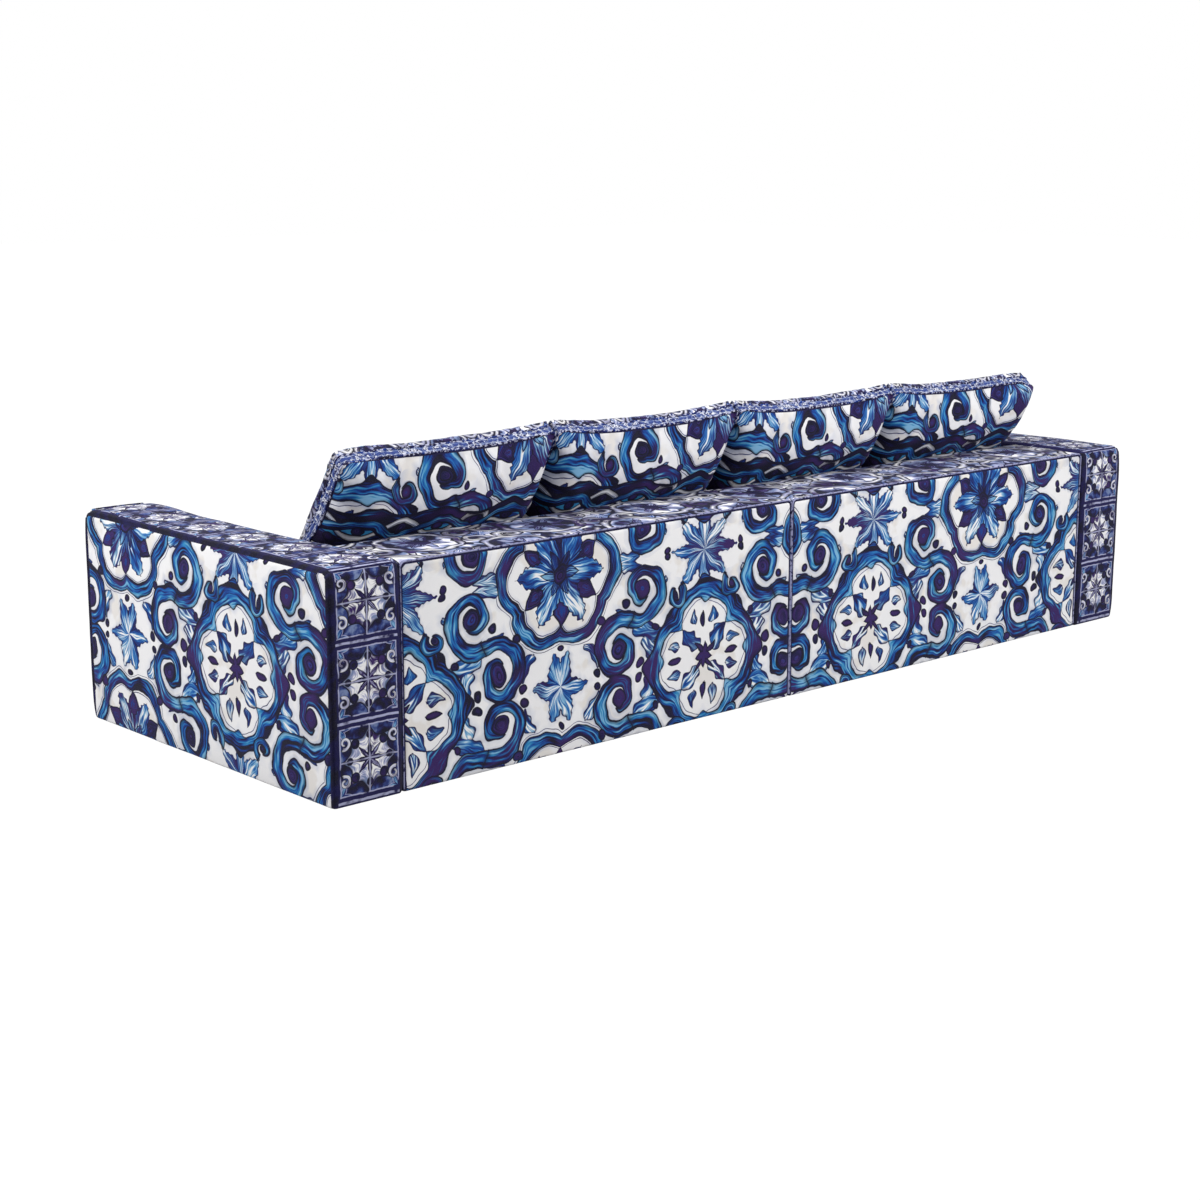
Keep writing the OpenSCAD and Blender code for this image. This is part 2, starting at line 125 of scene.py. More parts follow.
class Finish:                       # one material and what is needed to build its nodes
    def __init__(self, name, roughness=0.8, metallic=0.0, specular=0.5, coat=0.0):
        self.material = bpy.data.materials.new(name)
        self.material.use_nodes = True
        self.tree = self.material.node_tree
        self.shader = self.tree.nodes["Principled BSDF"]
        for socket, amount in (("Roughness", roughness), ("Metallic", metallic), ("Specular IOR Level", specular),
                               ("Coat Weight", coat)):
            self.feed(socket, amount)

    def feed(self, socket, source):
        plug(self.tree, source, self.shader.inputs[socket])

    def node(self, kind, settings=(), sockets=()):
        made = self.tree.nodes.new(kind)
        settings = dict(settings)
        stops = settings.pop("stops", None)
        for key, choice in settings.items():
            setattr(made, key, choice)
        if stops:
            ramp = made.color_ramp
            while len(ramp.elements) < len(stops):
                ramp.elements.new(0.5)
            for element, (place, colour) in zip(ramp.elements, stops):
                element.position, element.color = place, colour
        for key, item in dict(sockets).items():
            plug(self.tree, item, made.inputs[key])
        return made

    def field(self, socket):
        return Field(self.tree, socket)

    def onPiece(self):              # places in the sofa's own metres
        return self.node("ShaderNodeTexCoord").outputs["Object"]

    def onCloth(self):              # places on the flat cloth, in metres
        return self.node("ShaderNodeUVMap", {"uv_map": "print"}).outputs[0]

    def stretched(self, vector, scale):
        return self.node("ShaderNodeMapping", {}, {"Vector": vector, "Scale": scale}).outputs[0]

    def axes(self, vector):
        parts = self.node("ShaderNodeSeparateXYZ", {}, {"Vector": vector}).outputs
        return [self.field(part) for part in parts]

    def cloud(self, vector, scale, detail, flat=True, output="Fac"):
        made = self.node("ShaderNodeTexNoise", {"noise_dimensions": "2D" if flat else "3D"},
                         {"Vector": vector, "Scale": scale, "Detail": detail})
        return self.field(made.outputs[output])

    def brush(self, where, across):     # noise drawn out along the lines on which `across` keeps its value
        u, v, _ = self.axes(where)
        at = self.node("ShaderNodeCombineXYZ", {}, {"X": u, "Y": v, "Z": across}).outputs[0]
        return self.cloud(at, 1.0, 1.0, flat=False)

    def blend(self, first, second, share):
        made = self.node("ShaderNodeMix", {"data_type": "RGBA"}, {0: share, 6: first, 7: second})
        return made.outputs[2]

    def ramp(self, share, *colours):
        last = len(colours) - 1
        stops = [(k / last, colour) for k, colour in enumerate(colours)]
        return self.node("ShaderNodeValToRGB", {"stops": stops}, {"Fac": share}).outputs[0]

    def bump(self, height, distance, strength):
        made = self.node("ShaderNodeBump", {}, {"Height": height, "Distance": distance, "Strength": strength})
        self.feed("Normal", made.outputs[0])


# Printed cloth: shapes of the ornament as distances in metres, negative inside

def reach(x, y):
    return (x * x + y * y).root()


def rosette(x, y, petals, tip, notch, sharp, ragged=0.0):
    # pointed petals that reach from the notches between them out to their tips
    far = reach(x, y)
    share = abs((y.angle(x) * (petals / math.tau) + 0.5) % 1 - 0.5) * 2
    edge = share + (far * (math.tau * 62)).sine() * ragged if ragged else share
    shape = far - tip + (edge.high(0.0) ** sharp) * (tip - notch)
    return shape, 1.3 - share * 2.2 - far * (0.7 / tip)


def leaf(x, y, at, turn, size, width, bend=0.0, lobes=0):
    # it grows from its foot in the direction that turn gives, in degrees
    c, s = math.cos(math.radians(turn)) / size, math.sin(math.radians(turn)) / size
    dx, dy = x - at[0], y - at[1]
    along = dx * c + dy * s
    across = dy * c - dx * s
    t = along.high(0.0).low(1.0)
    half = (t ** 0.55) * ((1 - t) ** 0.9) * (2 * width / size)
    if lobes:
        half = half * ((t * (lobes * math.tau)).sine() * 0.22 + 1)
    if bend:
        across = across - t * (1 - t) * bend
    shape = (abs(across) - half).high(abs(along - 0.5) - 0.5) * size
    return shape, 1.1 - abs(across) * (1.3 * size / width) - t * 0.9


def scroll(x, y, at, turn, hand, pitch, turns, width):
    # a ribbon that widens outwards from its coil, and how far across it a point lies
    c, s = math.cos(math.radians(turn)), math.sin(math.radians(turn))
    dx, dy = x - at[0], (y - at[1]) * hand
    share = (dy * c - dx * s).angle(dx * c + dy * s) * (1 / math.tau) % 1
    coil = reach(dx, dy) * (1 / pitch) - share
    lap = (coil + 0.5).floor()
    along = lap + share
    off = (coil - lap) * pitch
    half = (along * (0.55 / turns) + 0.45) * width
    ribbon = (abs(off) - half).high((along - turns) * (pitch * 4)).high((0.35 - along) * pitch)
    return ribbon, off * (1 / width)


def bead(x, y, at, size):
    return reach(x - at[0], y - at[1]) - size


def merge(first, *others):
    # several shapes as one, each point with the shading of the shape it lies deepest in
    shape, side = first
    for other, otherSide in others:
        pick = other.before(shape)
        side = side + (otherSide - side) * pick
        shape = shape.low(other)
    return shape, side


ink = {
    "ground": tint(240, 239, 240), "cream": tint(230, 226, 222), "wash": tint(172, 182, 208),
    "lilac": tint(170, 172, 204), "grey": tint(116, 132, 170), "slate": tint(50, 66, 126),
    "black": tint(12, 10, 32), "navy": tint(22, 20, 66), "purple": tint(52, 32, 88),
    "cobalt": tint(20, 58, 134), "blue": tint(30, 100, 172), "teal": tint(52, 138, 186),
    "sky": tint(126, 178, 212),
}
stroke = "black navy cobalt blue teal sky"
petal = "navy cobalt blue sky ground"
shadow = "black navy purple cobalt"

brushwork = {
    "fade": 0.0012,                 # a painted edge fades over this distance
    "shading": 0.30,                # how far the form, the streaks and the cloth's unevenness change a colour
    "streaks": 2.4,
    "uneven": 1.1,
    "middle": 0.46,
}


def inks(names):
    return [ink[name] for name in names.split()]


def lay(finish, under, form, colours, paint, outline=0.003, edge="black"):
    # a painted shape: a dark outline of uneven width, then brush streaks that run with the stroke;
    # a form is a shape with its shading, or a shape alone
    shape, side = form if isinstance(form, tuple) else (form, form * -60 - 1.0)
    tone, hue, brush = paint
    inside = -shape
    line = inside + outline * 0.2 + tone * (outline * 1.6)
    lined = finish.blend(under, ink[edge], line.rise(0.0, brushwork["fade"]))
    run = side * brushwork["shading"] + (brush(side) - 0.5) * brushwork["streaks"] + \
        (tone - 0.5) * brushwork["uneven"] + brushwork["middle"]
    fill = finish.blend(finish.ramp(run, *inks(colours)), ink["purple"], hue * run.rise(0.9, 0.3))
    if outline:
        fill = finish.blend(fill, ink[edge], inside.rise(outline * 2.0, 0.0) * 0.85)
    return finish.blend(lined, fill, inside.rise(0.0, brushwork["fade"]))


largeDesign = {
    "repeat": (0.540, 0.310),       # half of it, across and up
    "ring": (0.170, 0.030, 0.0175),     # round the middle: radius, reach of its lobes, half its width
    "cornerRing": (0.164, 0.036, 0.0185),
    "spurs": 0.022,
    "coil": (0.0587, 1.5, 0.0215),  # pitch, turns and half width of the two large curls
    "smallCoil": (0.030, 1.20, 0.0130),
    "curls": ((0.300, 0.085), (0.212, 0.240), (0.425, 0.118)),
    "leaves": (                     # place, turn, length, width, bend and lobes
        ((0.262, 0.168), 18, 0.130, 0.034, 0.6, 2), ((0.252, 0.160), 210, 0.062, 0.020, 0.0, 1),
        ((0.214, 0.012), 0, 0.080, 0.022, 0.0, 2), ((0.306, 0.226), 74, 0.088, 0.028, -0.6, 2),
        ((0.090, 0.206), 60, 0.080, 0.022, -0.6, 2), ((0.388, 0.062), 110, 0.070, 0.018, 0.6, 2)),
    "buds": (((0.026, 0.026), 45, 0.084, 0.030, 0.0, 2), ((0.092, 0.036), 4, 0.050, 0.018, 0.5, 1),
             ((0.036, 0.092), 86, 0.050, 0.018, -0.5, 1)),
    "stems": (((0.010, 0.010), 45, 0.044, 0.009), ((0.086, 0.0), 0, 0.050, 0.012),
              ((0.0, 0.082), 90, 0.050, 0.012)),
    "eyes": (0.027, 0.027, 0.012),  # the beads in the curls
    "beads": (((0.0, 0.0), 0.026), ((0.232, 0.112), 0.010), ((0.150, 0.150), 0.013), ((0.352, 0.200), 0.011),
              ((0.0, 0.206), 0.009), ((0.288, 0.290), 0.013), ((0.396, 0.010), 0.011), ((0.128, 0.292), 0.011)),
}


def largeOrnament(finish, u, v, paint):
    design, tone = largeDesign, paint[0]
    halfWide, halfHigh = design["repeat"]
    x, y = u.fold(halfWide), v.fold(halfHigh)
    bx, by = halfWide - x, halfHigh - y

    (radiusA, lobesA, widthA), (radiusB, lobesB, widthB) = design["ring"], design["cornerRing"]
    turnB = by.angle(bx)
    offA = reach(x, y * 1.04) - radiusA - abs((y.angle(x) * 3).cosine()) * lobesA
    offB = reach(bx, by) - radiusB - abs((turnB * 2).cosine()) * lobesB
    spurs = abs((turnB * 4).cosine()) ** 9.0 * design["spurs"]
    bands = merge((abs(offA) - widthA, offA * 59), (abs(offB) - widthB - spurs, offB * -50))
    lower, upper, small = design["curls"]
    turned = scroll(x, y, upper, 119.6, 1, *design["coil"])
    curls = merge(scroll(x, y, lower, -60.4, 1, *design["coil"]), (turned[0], -turned[1]),
                  scroll(x, y, small, 330, -1, *design["smallCoil"]))

    flower = rosette(x, y, 6, 0.152, 0.075, 1.0, 0.05)
    inner = rosette(x, y, 6, 0.068, 0.030, 0.9)
    leaves = merge(rosette(bx, y, 8, 0.128, 0.060, 0.8, 0.05), rosette(x, by, 5, 0.100, 0.044, 0.8, 0.05),
                   *[leaf(x, y, *one) for one in design["leaves"]])
    buds = merge(*[leaf(bx, by, *one) for one in design["buds"]])
    darks = rosette(x, y, 6, 0.060, 0.146, 0.9)[0].high(-flower[0] - 0.004)
    darks = darks.low(rosette(bx, by, 4, 0.038, 0.012, 0.8)[0])
    for stem in design["stems"]:
        darks = darks.low(leaf(bx, by, *stem)[0])
    for at, size in (*zip(design["curls"], design["eyes"]), *design["beads"]):
        darks = darks.low(bead(x, y, at, size))
    lines = (abs(offB + 0.032) - 0.0016).low(abs(offA + 0.024) - 0.0016).low(abs(offA - 0.027) - 0.0014)

    near = bands[0].low(leaves[0]).low(curls[0])
    colour = finish.blend(ink["ground"], ink["cream"], tone.rise(0.52, 0.60))
    colour = finish.blend(colour, ink["wash"], near.rise(0.020, 0.0) * (tone * 2.2 - 0.6).high(0.0))
    colour = lay(finish, colour, lines, "navy cobalt", paint, 0.0, "navy")
    colour = lay(finish, colour, merge(leaves, buds, flower), petal, paint, 0.0034, "navy")
    colour = lay(finish, colour, inner, "black navy cobalt sky", paint)
    for form in (bands, curls):
        colour = lay(finish, colour, form, stroke, paint, 0.0036)
    return lay(finish, colour, darks, shadow, paint)


smallDesign = {
    "repeat": (0.115, 0.095),       # half of it, across and up
    "rings": (0.057, 0.052),
    "curls": ((0.084, 0.028), (0.030, 0.078)),
    "eyes": (0.006, 0.005),
}


def smallOrnament(finish, u, v, paint):
    halfWide, halfHigh = smallDesign["repeat"]
    x, y = u.fold(halfWide), v.fold(halfHigh)
    bx, by = halfWide - x, halfHigh - y
    ringA, ringB = reach(x, y) - smallDesign["rings"][0], reach(bx, by) - smallDesign["rings"][1]
    scallops = abs((y.angle(x) * 4).cosine()) * 0.006
    first, second = smallDesign["curls"]
    white = (abs(ringA - scallops) - 0.0062).low(abs(ringB) - 0.0056)
    white = white.low(scroll(x, y, first, 210, 1, 0.0150, 1.5, 0.0062)[0])
    white = white.low(scroll(x, y, second, 300, -1, 0.0120, 1.2, 0.0050)[0])
    leaves = merge(rosette(x, y, 8, 0.046, 0.022, 0.8), rosette(bx, by, 6, 0.041, 0.016, 0.8))
    sprigs = merge(rosette(bx, y, 6, 0.031, 0.011, 0.8), rosette(x, by, 6, 0.024, 0.010, 0.8),
                   leaf(x, y, (0.056, 0.044), 70, 0.034, 0.008, 0.5))
    darks = bead(bx, by, (0.0, 0.0), 0.015)
    for at, size in (((0.0, 0.0), 0.017), ((0.052, 0.052), 0.008), *zip(smallDesign["curls"], smallDesign["eyes"])):
        darks = darks.low(bead(x, y, at, size))
    colour = finish.ramp((paint[0] - 0.5) * 3.6 + 0.49, *inks("black navy grey lilac ground"))
    colour = lay(finish, colour, sprigs, "navy blue lilac ground", paint, 0.0016)
    colour = lay(finish, colour, white, "lilac ground ground", paint)
    colour = lay(finish, colour, leaves, "black navy purple grey lilac", paint, 0.0020)
    return lay(finish, colour, darks, "black navy", paint, 0.001)


tileDesign = {
    "size": 0.200,
    "start": 0.015,                 # height of the middle of the first joint
    "field": (0.0870, 0.0850),      # half the framed field, across and up
    "joint": 0.0962,                # a thin pale line runs from here to the tile's edge
    "border": 0.0925,               # from here on the strip is dark
    "shift": 0.020,                 # on the arm's top the inner border begins this much later
    "top": (0.60, 0.64),            # the strip turns over the arm's edge between these places
}


def tileColumn(finish, u, v, paint):
    # one column of square tiles with a border on both sides; u is 0 in its middle
    design, tone = tileDesign, paint[0]
    x = abs(u)
    y = abs((v - design["start"]) % design["size"] - design["size"] / 2)
    lobes = reach(x, y) - 0.084 + abs((y.angle(x) * 4).sine()) ** 0.7 * 0.024
    star = rosette(x, y, 8, 0.046, 0.014, 0.8, 0.04)
    seeds = bead(x, y, (0.043, 0.043), 0.012)
    for at in ((0.060, 0.0), (0.0, 0.060)):
        seeds = seeds.low(bead(x, y, at, 0.009))
    corner = rosette(0.088 - x, 0.086 - y, 6, 0.036, 0.014, 0.8)
    curl = scroll(x, y, (0.074, 0.050), 120, 1, 0.0110, 1.5, 0.0050)
    colour = finish.ramp((tone - 0.5) * 3.0 + 0.40, *inks("black navy slate grey"))
    colour = lay(finish, colour, corner, "navy cobalt sky", paint, 0.002, "lilac")
    colour = lay(finish, colour, curl, "lilac ground", paint, 0.001)
    colour = lay(finish, colour, lobes, "grey lilac ground ground", paint)
    colour = lay(finish, colour, star, "black navy purple lilac", paint)
    colour = lay(finish, colour, seeds, "black navy purple", paint, 0.002)
    cross = 0.0020 - x.low(y)
    field = (design["field"][0] - x).low(design["field"][1] - y)
    border = x - design["border"] - u.before(0.0) * v.rise(*design["top"]) * design["shift"]
    for name, share in (("black", cross.rise(-0.0030, -0.0010) * 0.6),
                        ("lilac", cross.rise(-0.0005, 0.0005) * (tone * 4 - 1.2).low(0.85)),
                        ("navy", field.rise(0.0005, -0.0005)),
                        ("lilac", (abs(field + 0.0005) - 0.0016).rise(0.0005, -0.0005) * tone.rise(0.40, 0.52)),
                        ("lilac", (y - design["joint"]).rise(0.0, 0.0012) * tone.rise(0.34, 0.50))):
        colour = finish.blend(colour, ink[name], share)
    dark = finish.blend(ink["black"], ink["navy"], tone.rise(0.45, 0.65))
    return finish.blend(colour, dark, border.rise(0.0, 0.0015))


waves = {
    "turns": 26.0,                  # radians to the metre
    "height": 0.098,                # from the panel's middle to the top of the dark border
    "foot": -0.03,
    "stripes": ((0.050, -0.026, 0.009, "grey ground ground"), (0.052, 0.024, 0.0125, stroke)),
}


def cushionOrnament(finish, u, v, paint):
    # the large ornament above a dark border of waves; v is 0 in the panel's middle
    turns = waves["turns"]
    colour = largeOrnament(finish, u + 0.27, v + 0.33, paint)
    sway, slow = (u * turns + 1.0).sine(), (u * 9.0).sine()
    wave = (v - waves["height"] - sway * 0.016 - slow * 0.012).high(waves["foot"] - v)
    flow = (wave * 70 + slow).sine() * 1.3 - 0.2
    colour = lay(finish, colour, (wave, flow), "black black navy cobalt teal", paint, 0.006)
    for height, swing, half, colours in waves["stripes"]:
        off = v - height - sway * swing
        colour = lay(finish, colour, ((abs(off) - half).high(wave + 0.004), off / half), colours, paint, 0.004)
    spot = abs((u * (turns / math.pi) + 1 / math.pi) % 1 - 0.5) * (math.pi / turns)
    blots = bead(spot, v, (0.0, 0.052), 0.015).low(bead(spot, v, (0.060, 0.012), 0.014))
    return lay(finish, colour, blots.high(wave + 0.010), shadow, paint)


printing = {
    "tone": 9.0,                    # scale of the unevenness in the paint, and of its turns to purple
    "hue": 5.0,
    "drift": ((13.0, 0.030), (70.0, 0.0016)),   # the hand's large and small wavering: scale and distance
    "grain": 14.0,
    "thread": 0.0016,
    "wear": tint(150, 150, 165),
}


def printedCloth(name, draw, wobble=1.0, shake=1.0):
    # a smaller ornament has a finer wobble, and shake is how much of the large wavering it keeps
    finish = Finish(name, roughness=0.82, specular=0.18)
    where = finish.onCloth()
    across, along, _ = finish.axes(where)
    tone = finish.cloud(where, printing["tone"] / wobble, 3)
    hue = finish.cloud(where, printing["hue"] / wobble, 1).rise(0.50, 0.66)
    u, v = across, along
    for (scale, far), keep in zip(printing["drift"], (shake, 1.0)):
        shift = finish.axes(finish.cloud(where, scale / wobble, 1.0, output="Color"))
        amount = far * wobble * keep
        u, v = u + (shift[0] - 0.5) * amount, v + (shift[1] - 0.5) * amount
    grain = finish.stretched(where, (printing["grain"] / wobble,) * 3)
    colour = draw(finish, u, v, (tone, hue, lambda side: finish.brush(grain, side * 3.2)))
    fine = finish.cloud(where, 420, 2)
    finish.feed("Base Color", finish.blend(colour, printing["wear"], fine.rise(0.50, 0.80) * 0.07))
    turn = math.tau / printing["thread"]
    weave = (across * turn).sine() * (along * turn).sine()
    crumple = finish.cloud(where, 28, 3)
    finish.bump(weave * 0.10 + crumple, 0.0012, 0.5)
    finish.feed("Roughness", crumple * 0.16 + 0.70)
    return finish.material


def plainCloth(name, thread, shade, period, roughness=0.85):
    finish = Finish(name, roughness=roughness, specular=0.2)
    where = finish.onPiece()
    x, y, z = finish.axes(where)
    turn = math.tau / period
    weave = ((x + z) * turn).sine() * ((y - z) * turn).sine()
    wear = finish.cloud(where, 9, 3, flat=False)
    finish.feed("Base Color", finish.blend(thread, shade, (weave * 0.25 + wear * 0.9 - 0.1).rise(0.0, 1.0)))
    finish.feed("Roughness", wear * 0.15 + (roughness - 0.08))
    finish.bump(weave * 0.5 + wear * 0.5, period * 0.3, 0.6)
    return finish.material


def cordCloth(name, pale, start, end):
    # the print cut on the bias: short dark dashes on a pale cord
    finish = Finish(name, roughness=0.8, specular=0.2)
    where = finish.onPiece()
    dash = finish.cloud(where, 95, 2, flat=False)
    hue = finish.cloud(where, 31, 1, flat=False)
    dark = finish.ramp((hue - 0.3) * 2.4, *inks("black navy cobalt"))
    finish.feed("Base Color", finish.blend(pale, dark, dash.rise(start, end)))
    finish.feed("Roughness", dash * 0.1 + 0.72)
    finish.bump(finish.cloud(where, 700, 2, flat=False), 0.0004, 0.5)
    return finish.material


def gussetCloth(name, pale):
    # the narrow strip between a cushion's two cords: pale, with rows of dark dashes where the print is cut through
    finish = Finish(name, roughness=0.8, specular=0.2)
    where = finish.onCloth()
    u, v, _ = finish.axes(where)
    tone = finish.cloud(where, 60, 2)
    row = abs((v * 236 + tone * 1.6).sine())
    dash = (u * 330 + (tone - 0.5) * 26).sine() + (tone - 0.5) * 4
    light = finish.blend(pale, ink["grey"], tone.rise(0.38, 0.58))
    dark = finish.blend(ink["navy"], ink["slate"], tone.rise(0.38, 0.60))
    finish.feed("Base Color", finish.blend(light, dark, dash.rise(-0.9, -0.4) * row.rise(0.05, 0.40)))
    finish.feed("Roughness", tone * 0.1 + 0.72)
    finish.bump(finish.cloud(where, 500, 2), 0.0005, 0.5)
    return finish.material


def timber(name, pale, dark, grain):
    finish = Finish(name, roughness=0.55, coat=0.05)
    board = finish.stretched(finish.onPiece(), (1.0, 1.0, 6.0))
    rings = finish.node("ShaderNodeTexWave", {"wave_type": "RINGS"},
                        {"Vector": board, "Scale": grain, "Distortion": 5.0, "Detail": 3.0, "Detail Scale": 1.4})
    pores = finish.cloud(board, 160, 2, flat=False)
    figure = finish.field(rings.outputs["Fac"])
    finish.feed("Base Color", finish.blend(pale, dark, (figure * 0.55 + pores * 0.5 - 0.1).rise(0.0, 1.0)))
    finish.feed("Roughness", pores * 0.25 + 0.42)
    finish.bump(figure * 0.4 + pores, 0.0005, 0.5)
    return finish.material


def openFoam(name, colour, shade):
    finish = Finish(name, roughness=0.95)
    where = finish.onPiece()
    bubbles = finish.node("ShaderNodeTexVoronoi", {}, {"Vector": where, "Scale": 420.0})
    cells = finish.field(bubbles.outputs["Distance"])
    age = finish.cloud(where, 6, 3, flat=False)
    finish.feed("Base Color", finish.blend(colour, shade, (age * 0.7 + cells * 0.3).rise(0.2, 0.9)))
    finish.bump(cells, 0.0012, 0.7)
    return finish.material


def turnedMetal(name, bright, dull):
    finish = Finish(name, roughness=0.35, metallic=1.0)
    where = finish.onPiece()
    lines = finish.cloud(finish.stretched(where, (1.0, 14.0, 14.0)), 120, 2, flat=False)
    spots = finish.cloud(where, 60, 3, flat=False)
    finish.feed("Base Color", finish.blend(bright, dull, spots.rise(0.35, 0.7)))
    finish.feed("Roughness", lines * 0.25 + 0.25)
    finish.bump(lines, 0.0002, 0.4)
    return finish.material


def mouldedPlastic(name, colour, worn):
    finish = Finish(name, roughness=0.5)
    where = finish.onPiece()
    grain, scuff = finish.cloud(where, 900, 1, flat=False), finish.cloud(where, 70, 3, flat=False)
    finish.feed("Base Color", finish.blend(colour, worn, scuff.rise(0.5, 0.75)))
    finish.feed("Roughness", scuff * 0.3 + 0.35)
    finish.bump(grain, 0.0002, 0.5)
    return finish.material


cloth = printedCloth("largePrint", largeOrnament)
cushionCloth = printedCloth("cushionPrint", cushionOrnament)
lace = printedCloth("smallPrint", smallOrnament, 0.4)
tiles = printedCloth("tilePrint", tileColumn, 0.35, 0.35)
cord = cordCloth("cushionCord", tint(180, 182, 206), 0.43, 0.48)
plainCord = cordCloth("backCord", tint(146, 148, 184), 0.50, 0.66)
gusset = gussetCloth("gussetPrint", tint(206, 209, 222))
# painted shade: a dark cloth laid where the seams lie in shade, round the back's rear panel and beside the
# cushions' rear cords
creaseAndPaintedShade = plainCloth("paintedShadeCloth", tint(26, 24, 54), tint(44, 42, 84), 0.0022)
dust = plainCloth("dustCloth", tint(38, 38, 42), tint(62, 62, 68), 0.003)
platform = plainCloth("platformCloth", tint(214, 213, 216), tint(186, 186, 194), 0.0022)
webbing = plainCloth("webbing", tint(120, 112, 100), tint(74, 68, 60), 0.005)
felt = plainCloth("felt", tint(224, 220, 208), tint(196, 190, 178), 0.004, 0.95)
hardwood = timber("hardwood", tint(206, 170, 122), tint(150, 108, 66), 9.0)
plywood = timber("plywood", tint(222, 194, 148), tint(184, 146, 98), 5.0)
foam = openFoam("foam", tint(238, 228, 186), tint(214, 198, 146))
zinc = turnedMetal("zincSteel", tint(196, 198, 202), tint(168, 170, 176))
plastic = mouldedPlastic("glidePlastic", tint(44, 44, 48), tint(70, 70, 74))
print("finishes")


# Shared modelling steps

def points(obj):
    co = np.empty(len(obj.data.vertices) * 3)
    obj.data.vertices.foreach_get("co", co)
    return co.reshape(-1, 3)


def normals(obj):
    no = np.empty(len(obj.data.vertices) * 3)
    obj.data.vertices.foreach_get("normal", no)
    return no.reshape(-1, 3)


def rising(value, start, end):      # 0 before start, 1 after end
    return np.clip((value - start) / (end - start), 0, 1)


def setPoints(obj, co):
    obj.data.vertices.foreach_set("co", np.ascontiguousarray(co, dtype=np.float32).ravel())
    obj.data.update()


def stops(low, high, step, ends):
    # places of the mesh's rows: close together at both ends
    count = max(2, round((high - low - 2 * ends[-1]) / step) + 1)
    inner = np.linspace(low + ends[-1], high - ends[-1], count)
    return np.array(sorted([low + e for e in ends[:-1]] + list(inner) + [high - e for e in ends[:-1]]))


def gridBox(name, rows):
    bpy.ops.mesh.primitive_cube_add(size=1)
    obj = bpy.context.object
    obj.name = obj.data.name = name
    for axis in range(3):
        if len(rows[axis]) > 2:
            mesh = obj.data
            co = points(obj)
            ends = np.array([edge.vertices[:] for edge in mesh.edges])
            picks = np.abs(co[ends[:, 0], axis] - co[ends[:, 1], axis]) > 0.5
            mesh.vertices.foreach_set("select", np.zeros(len(mesh.vertices), bool))
            mesh.polygons.foreach_set("select", np.zeros(len(mesh.polygons), bool))
            mesh.edges.foreach_set("select", picks)
            bpy.ops.object.mode_set(mode="EDIT")
            bpy.ops.mesh.subdivide(number_cuts=len(rows[axis]) - 2)
            bpy.ops.object.mode_set(mode="OBJECT")
    co = points(obj)
    for axis in range(3):
        index = np.rint((co[:, axis] + 0.5) * (len(rows[axis]) - 1)).astype(int)
        co[:, axis] = rows[axis][index]
    setPoints(obj, co)
    return obj


def roundSection(co, a, b, low, high, radii):
    # the four corners of a section become quarter rounds; radii go low low, high low, high high, low high
    for (sa, sb), radius in zip(((-1, -1), (1, -1), (1, 1), (-1, 1)), radii):
        ca = high[a] - radius if sa > 0 else low[a] + radius
        cb = high[b] - radius if sb > 0 else low[b] + radius
        da, db = (co[:, a] - ca) * sa, (co[:, b] - cb) * sb
        at = (da > 0) & (db > 0)
        share = np.ones(len(co))
        share[at] = np.maximum(da, db)[at] / np.hypot(da, db)[at]
        co[at, a] = (ca + sa * da * share)[at]
        co[at, b] = (cb + sb * db * share)[at]


def ripple(co, scale, seed):
    shift = Vector((seed * 3.7, seed * 1.3, seed * 2.9))
    return np.array([noise.noise(Vector(p) * scale + shift) for p in co])


def layPrint(obj, zoneOf, printOf, materials):
    # zoneOf gives each face its material; printOf gives a face's corners their place on the cloth
    mesh = obj.data
    count = len(mesh.polygons)
    centre, facing = np.empty(count * 3), np.empty(count * 3)
    mesh.polygons.foreach_get("center", centre)
    mesh.polygons.foreach_get("normal", facing)
    zones = zoneOf(centre.reshape(-1, 3), facing.reshape(-1, 3))
    sizes = np.empty(count, dtype=np.int32)
    mesh.polygons.foreach_get("loop_total", sizes)
    corners = np.empty(len(mesh.loops), dtype=np.int32)
    mesh.loops.foreach_get("vertex_index", corners)
    uv = printOf(np.repeat(zones, sizes), points(obj)[corners])
    for layer in list(mesh.uv_layers):
        mesh.uv_layers.remove(layer)
    mesh.uv_layers.new(name="print").data.foreach_set("uv", uv.astype(np.float32).ravel())
    mesh.materials.clear()
    for material in materials:
        mesh.materials.append(material)
    mesh.polygons.foreach_set("material_index", zones.astype(np.int32))
    mesh.polygons.foreach_set("use_smooth", np.ones(count, bool))
    mesh.update()


def copied(obj, name, mirror=False):
    twin = obj.copy()
    twin.data = obj.data.copy()
    twin.name = twin.data.name = name
    bpy.context.scene.collection.objects.link(twin)
    if mirror:
        twin.data.transform(Matrix.Scale(-1, 4, (1, 0, 0)))
        twin.data.flip_normals()
    return twin


def place(obj, body, slot, *nodes):
    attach(obj, body)
    if nodes:
        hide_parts(*nodes)


def placeHalves(obj, slot, node):
    # the right half's piece and, for the left half, its mirrored copy
    twin = copied(obj, obj.name.replace("right", "left"), True)
    for piece, side in ((obj, "right"), (twin, "left")):
        place(piece, "frame", slot, f"{side}_{node}")


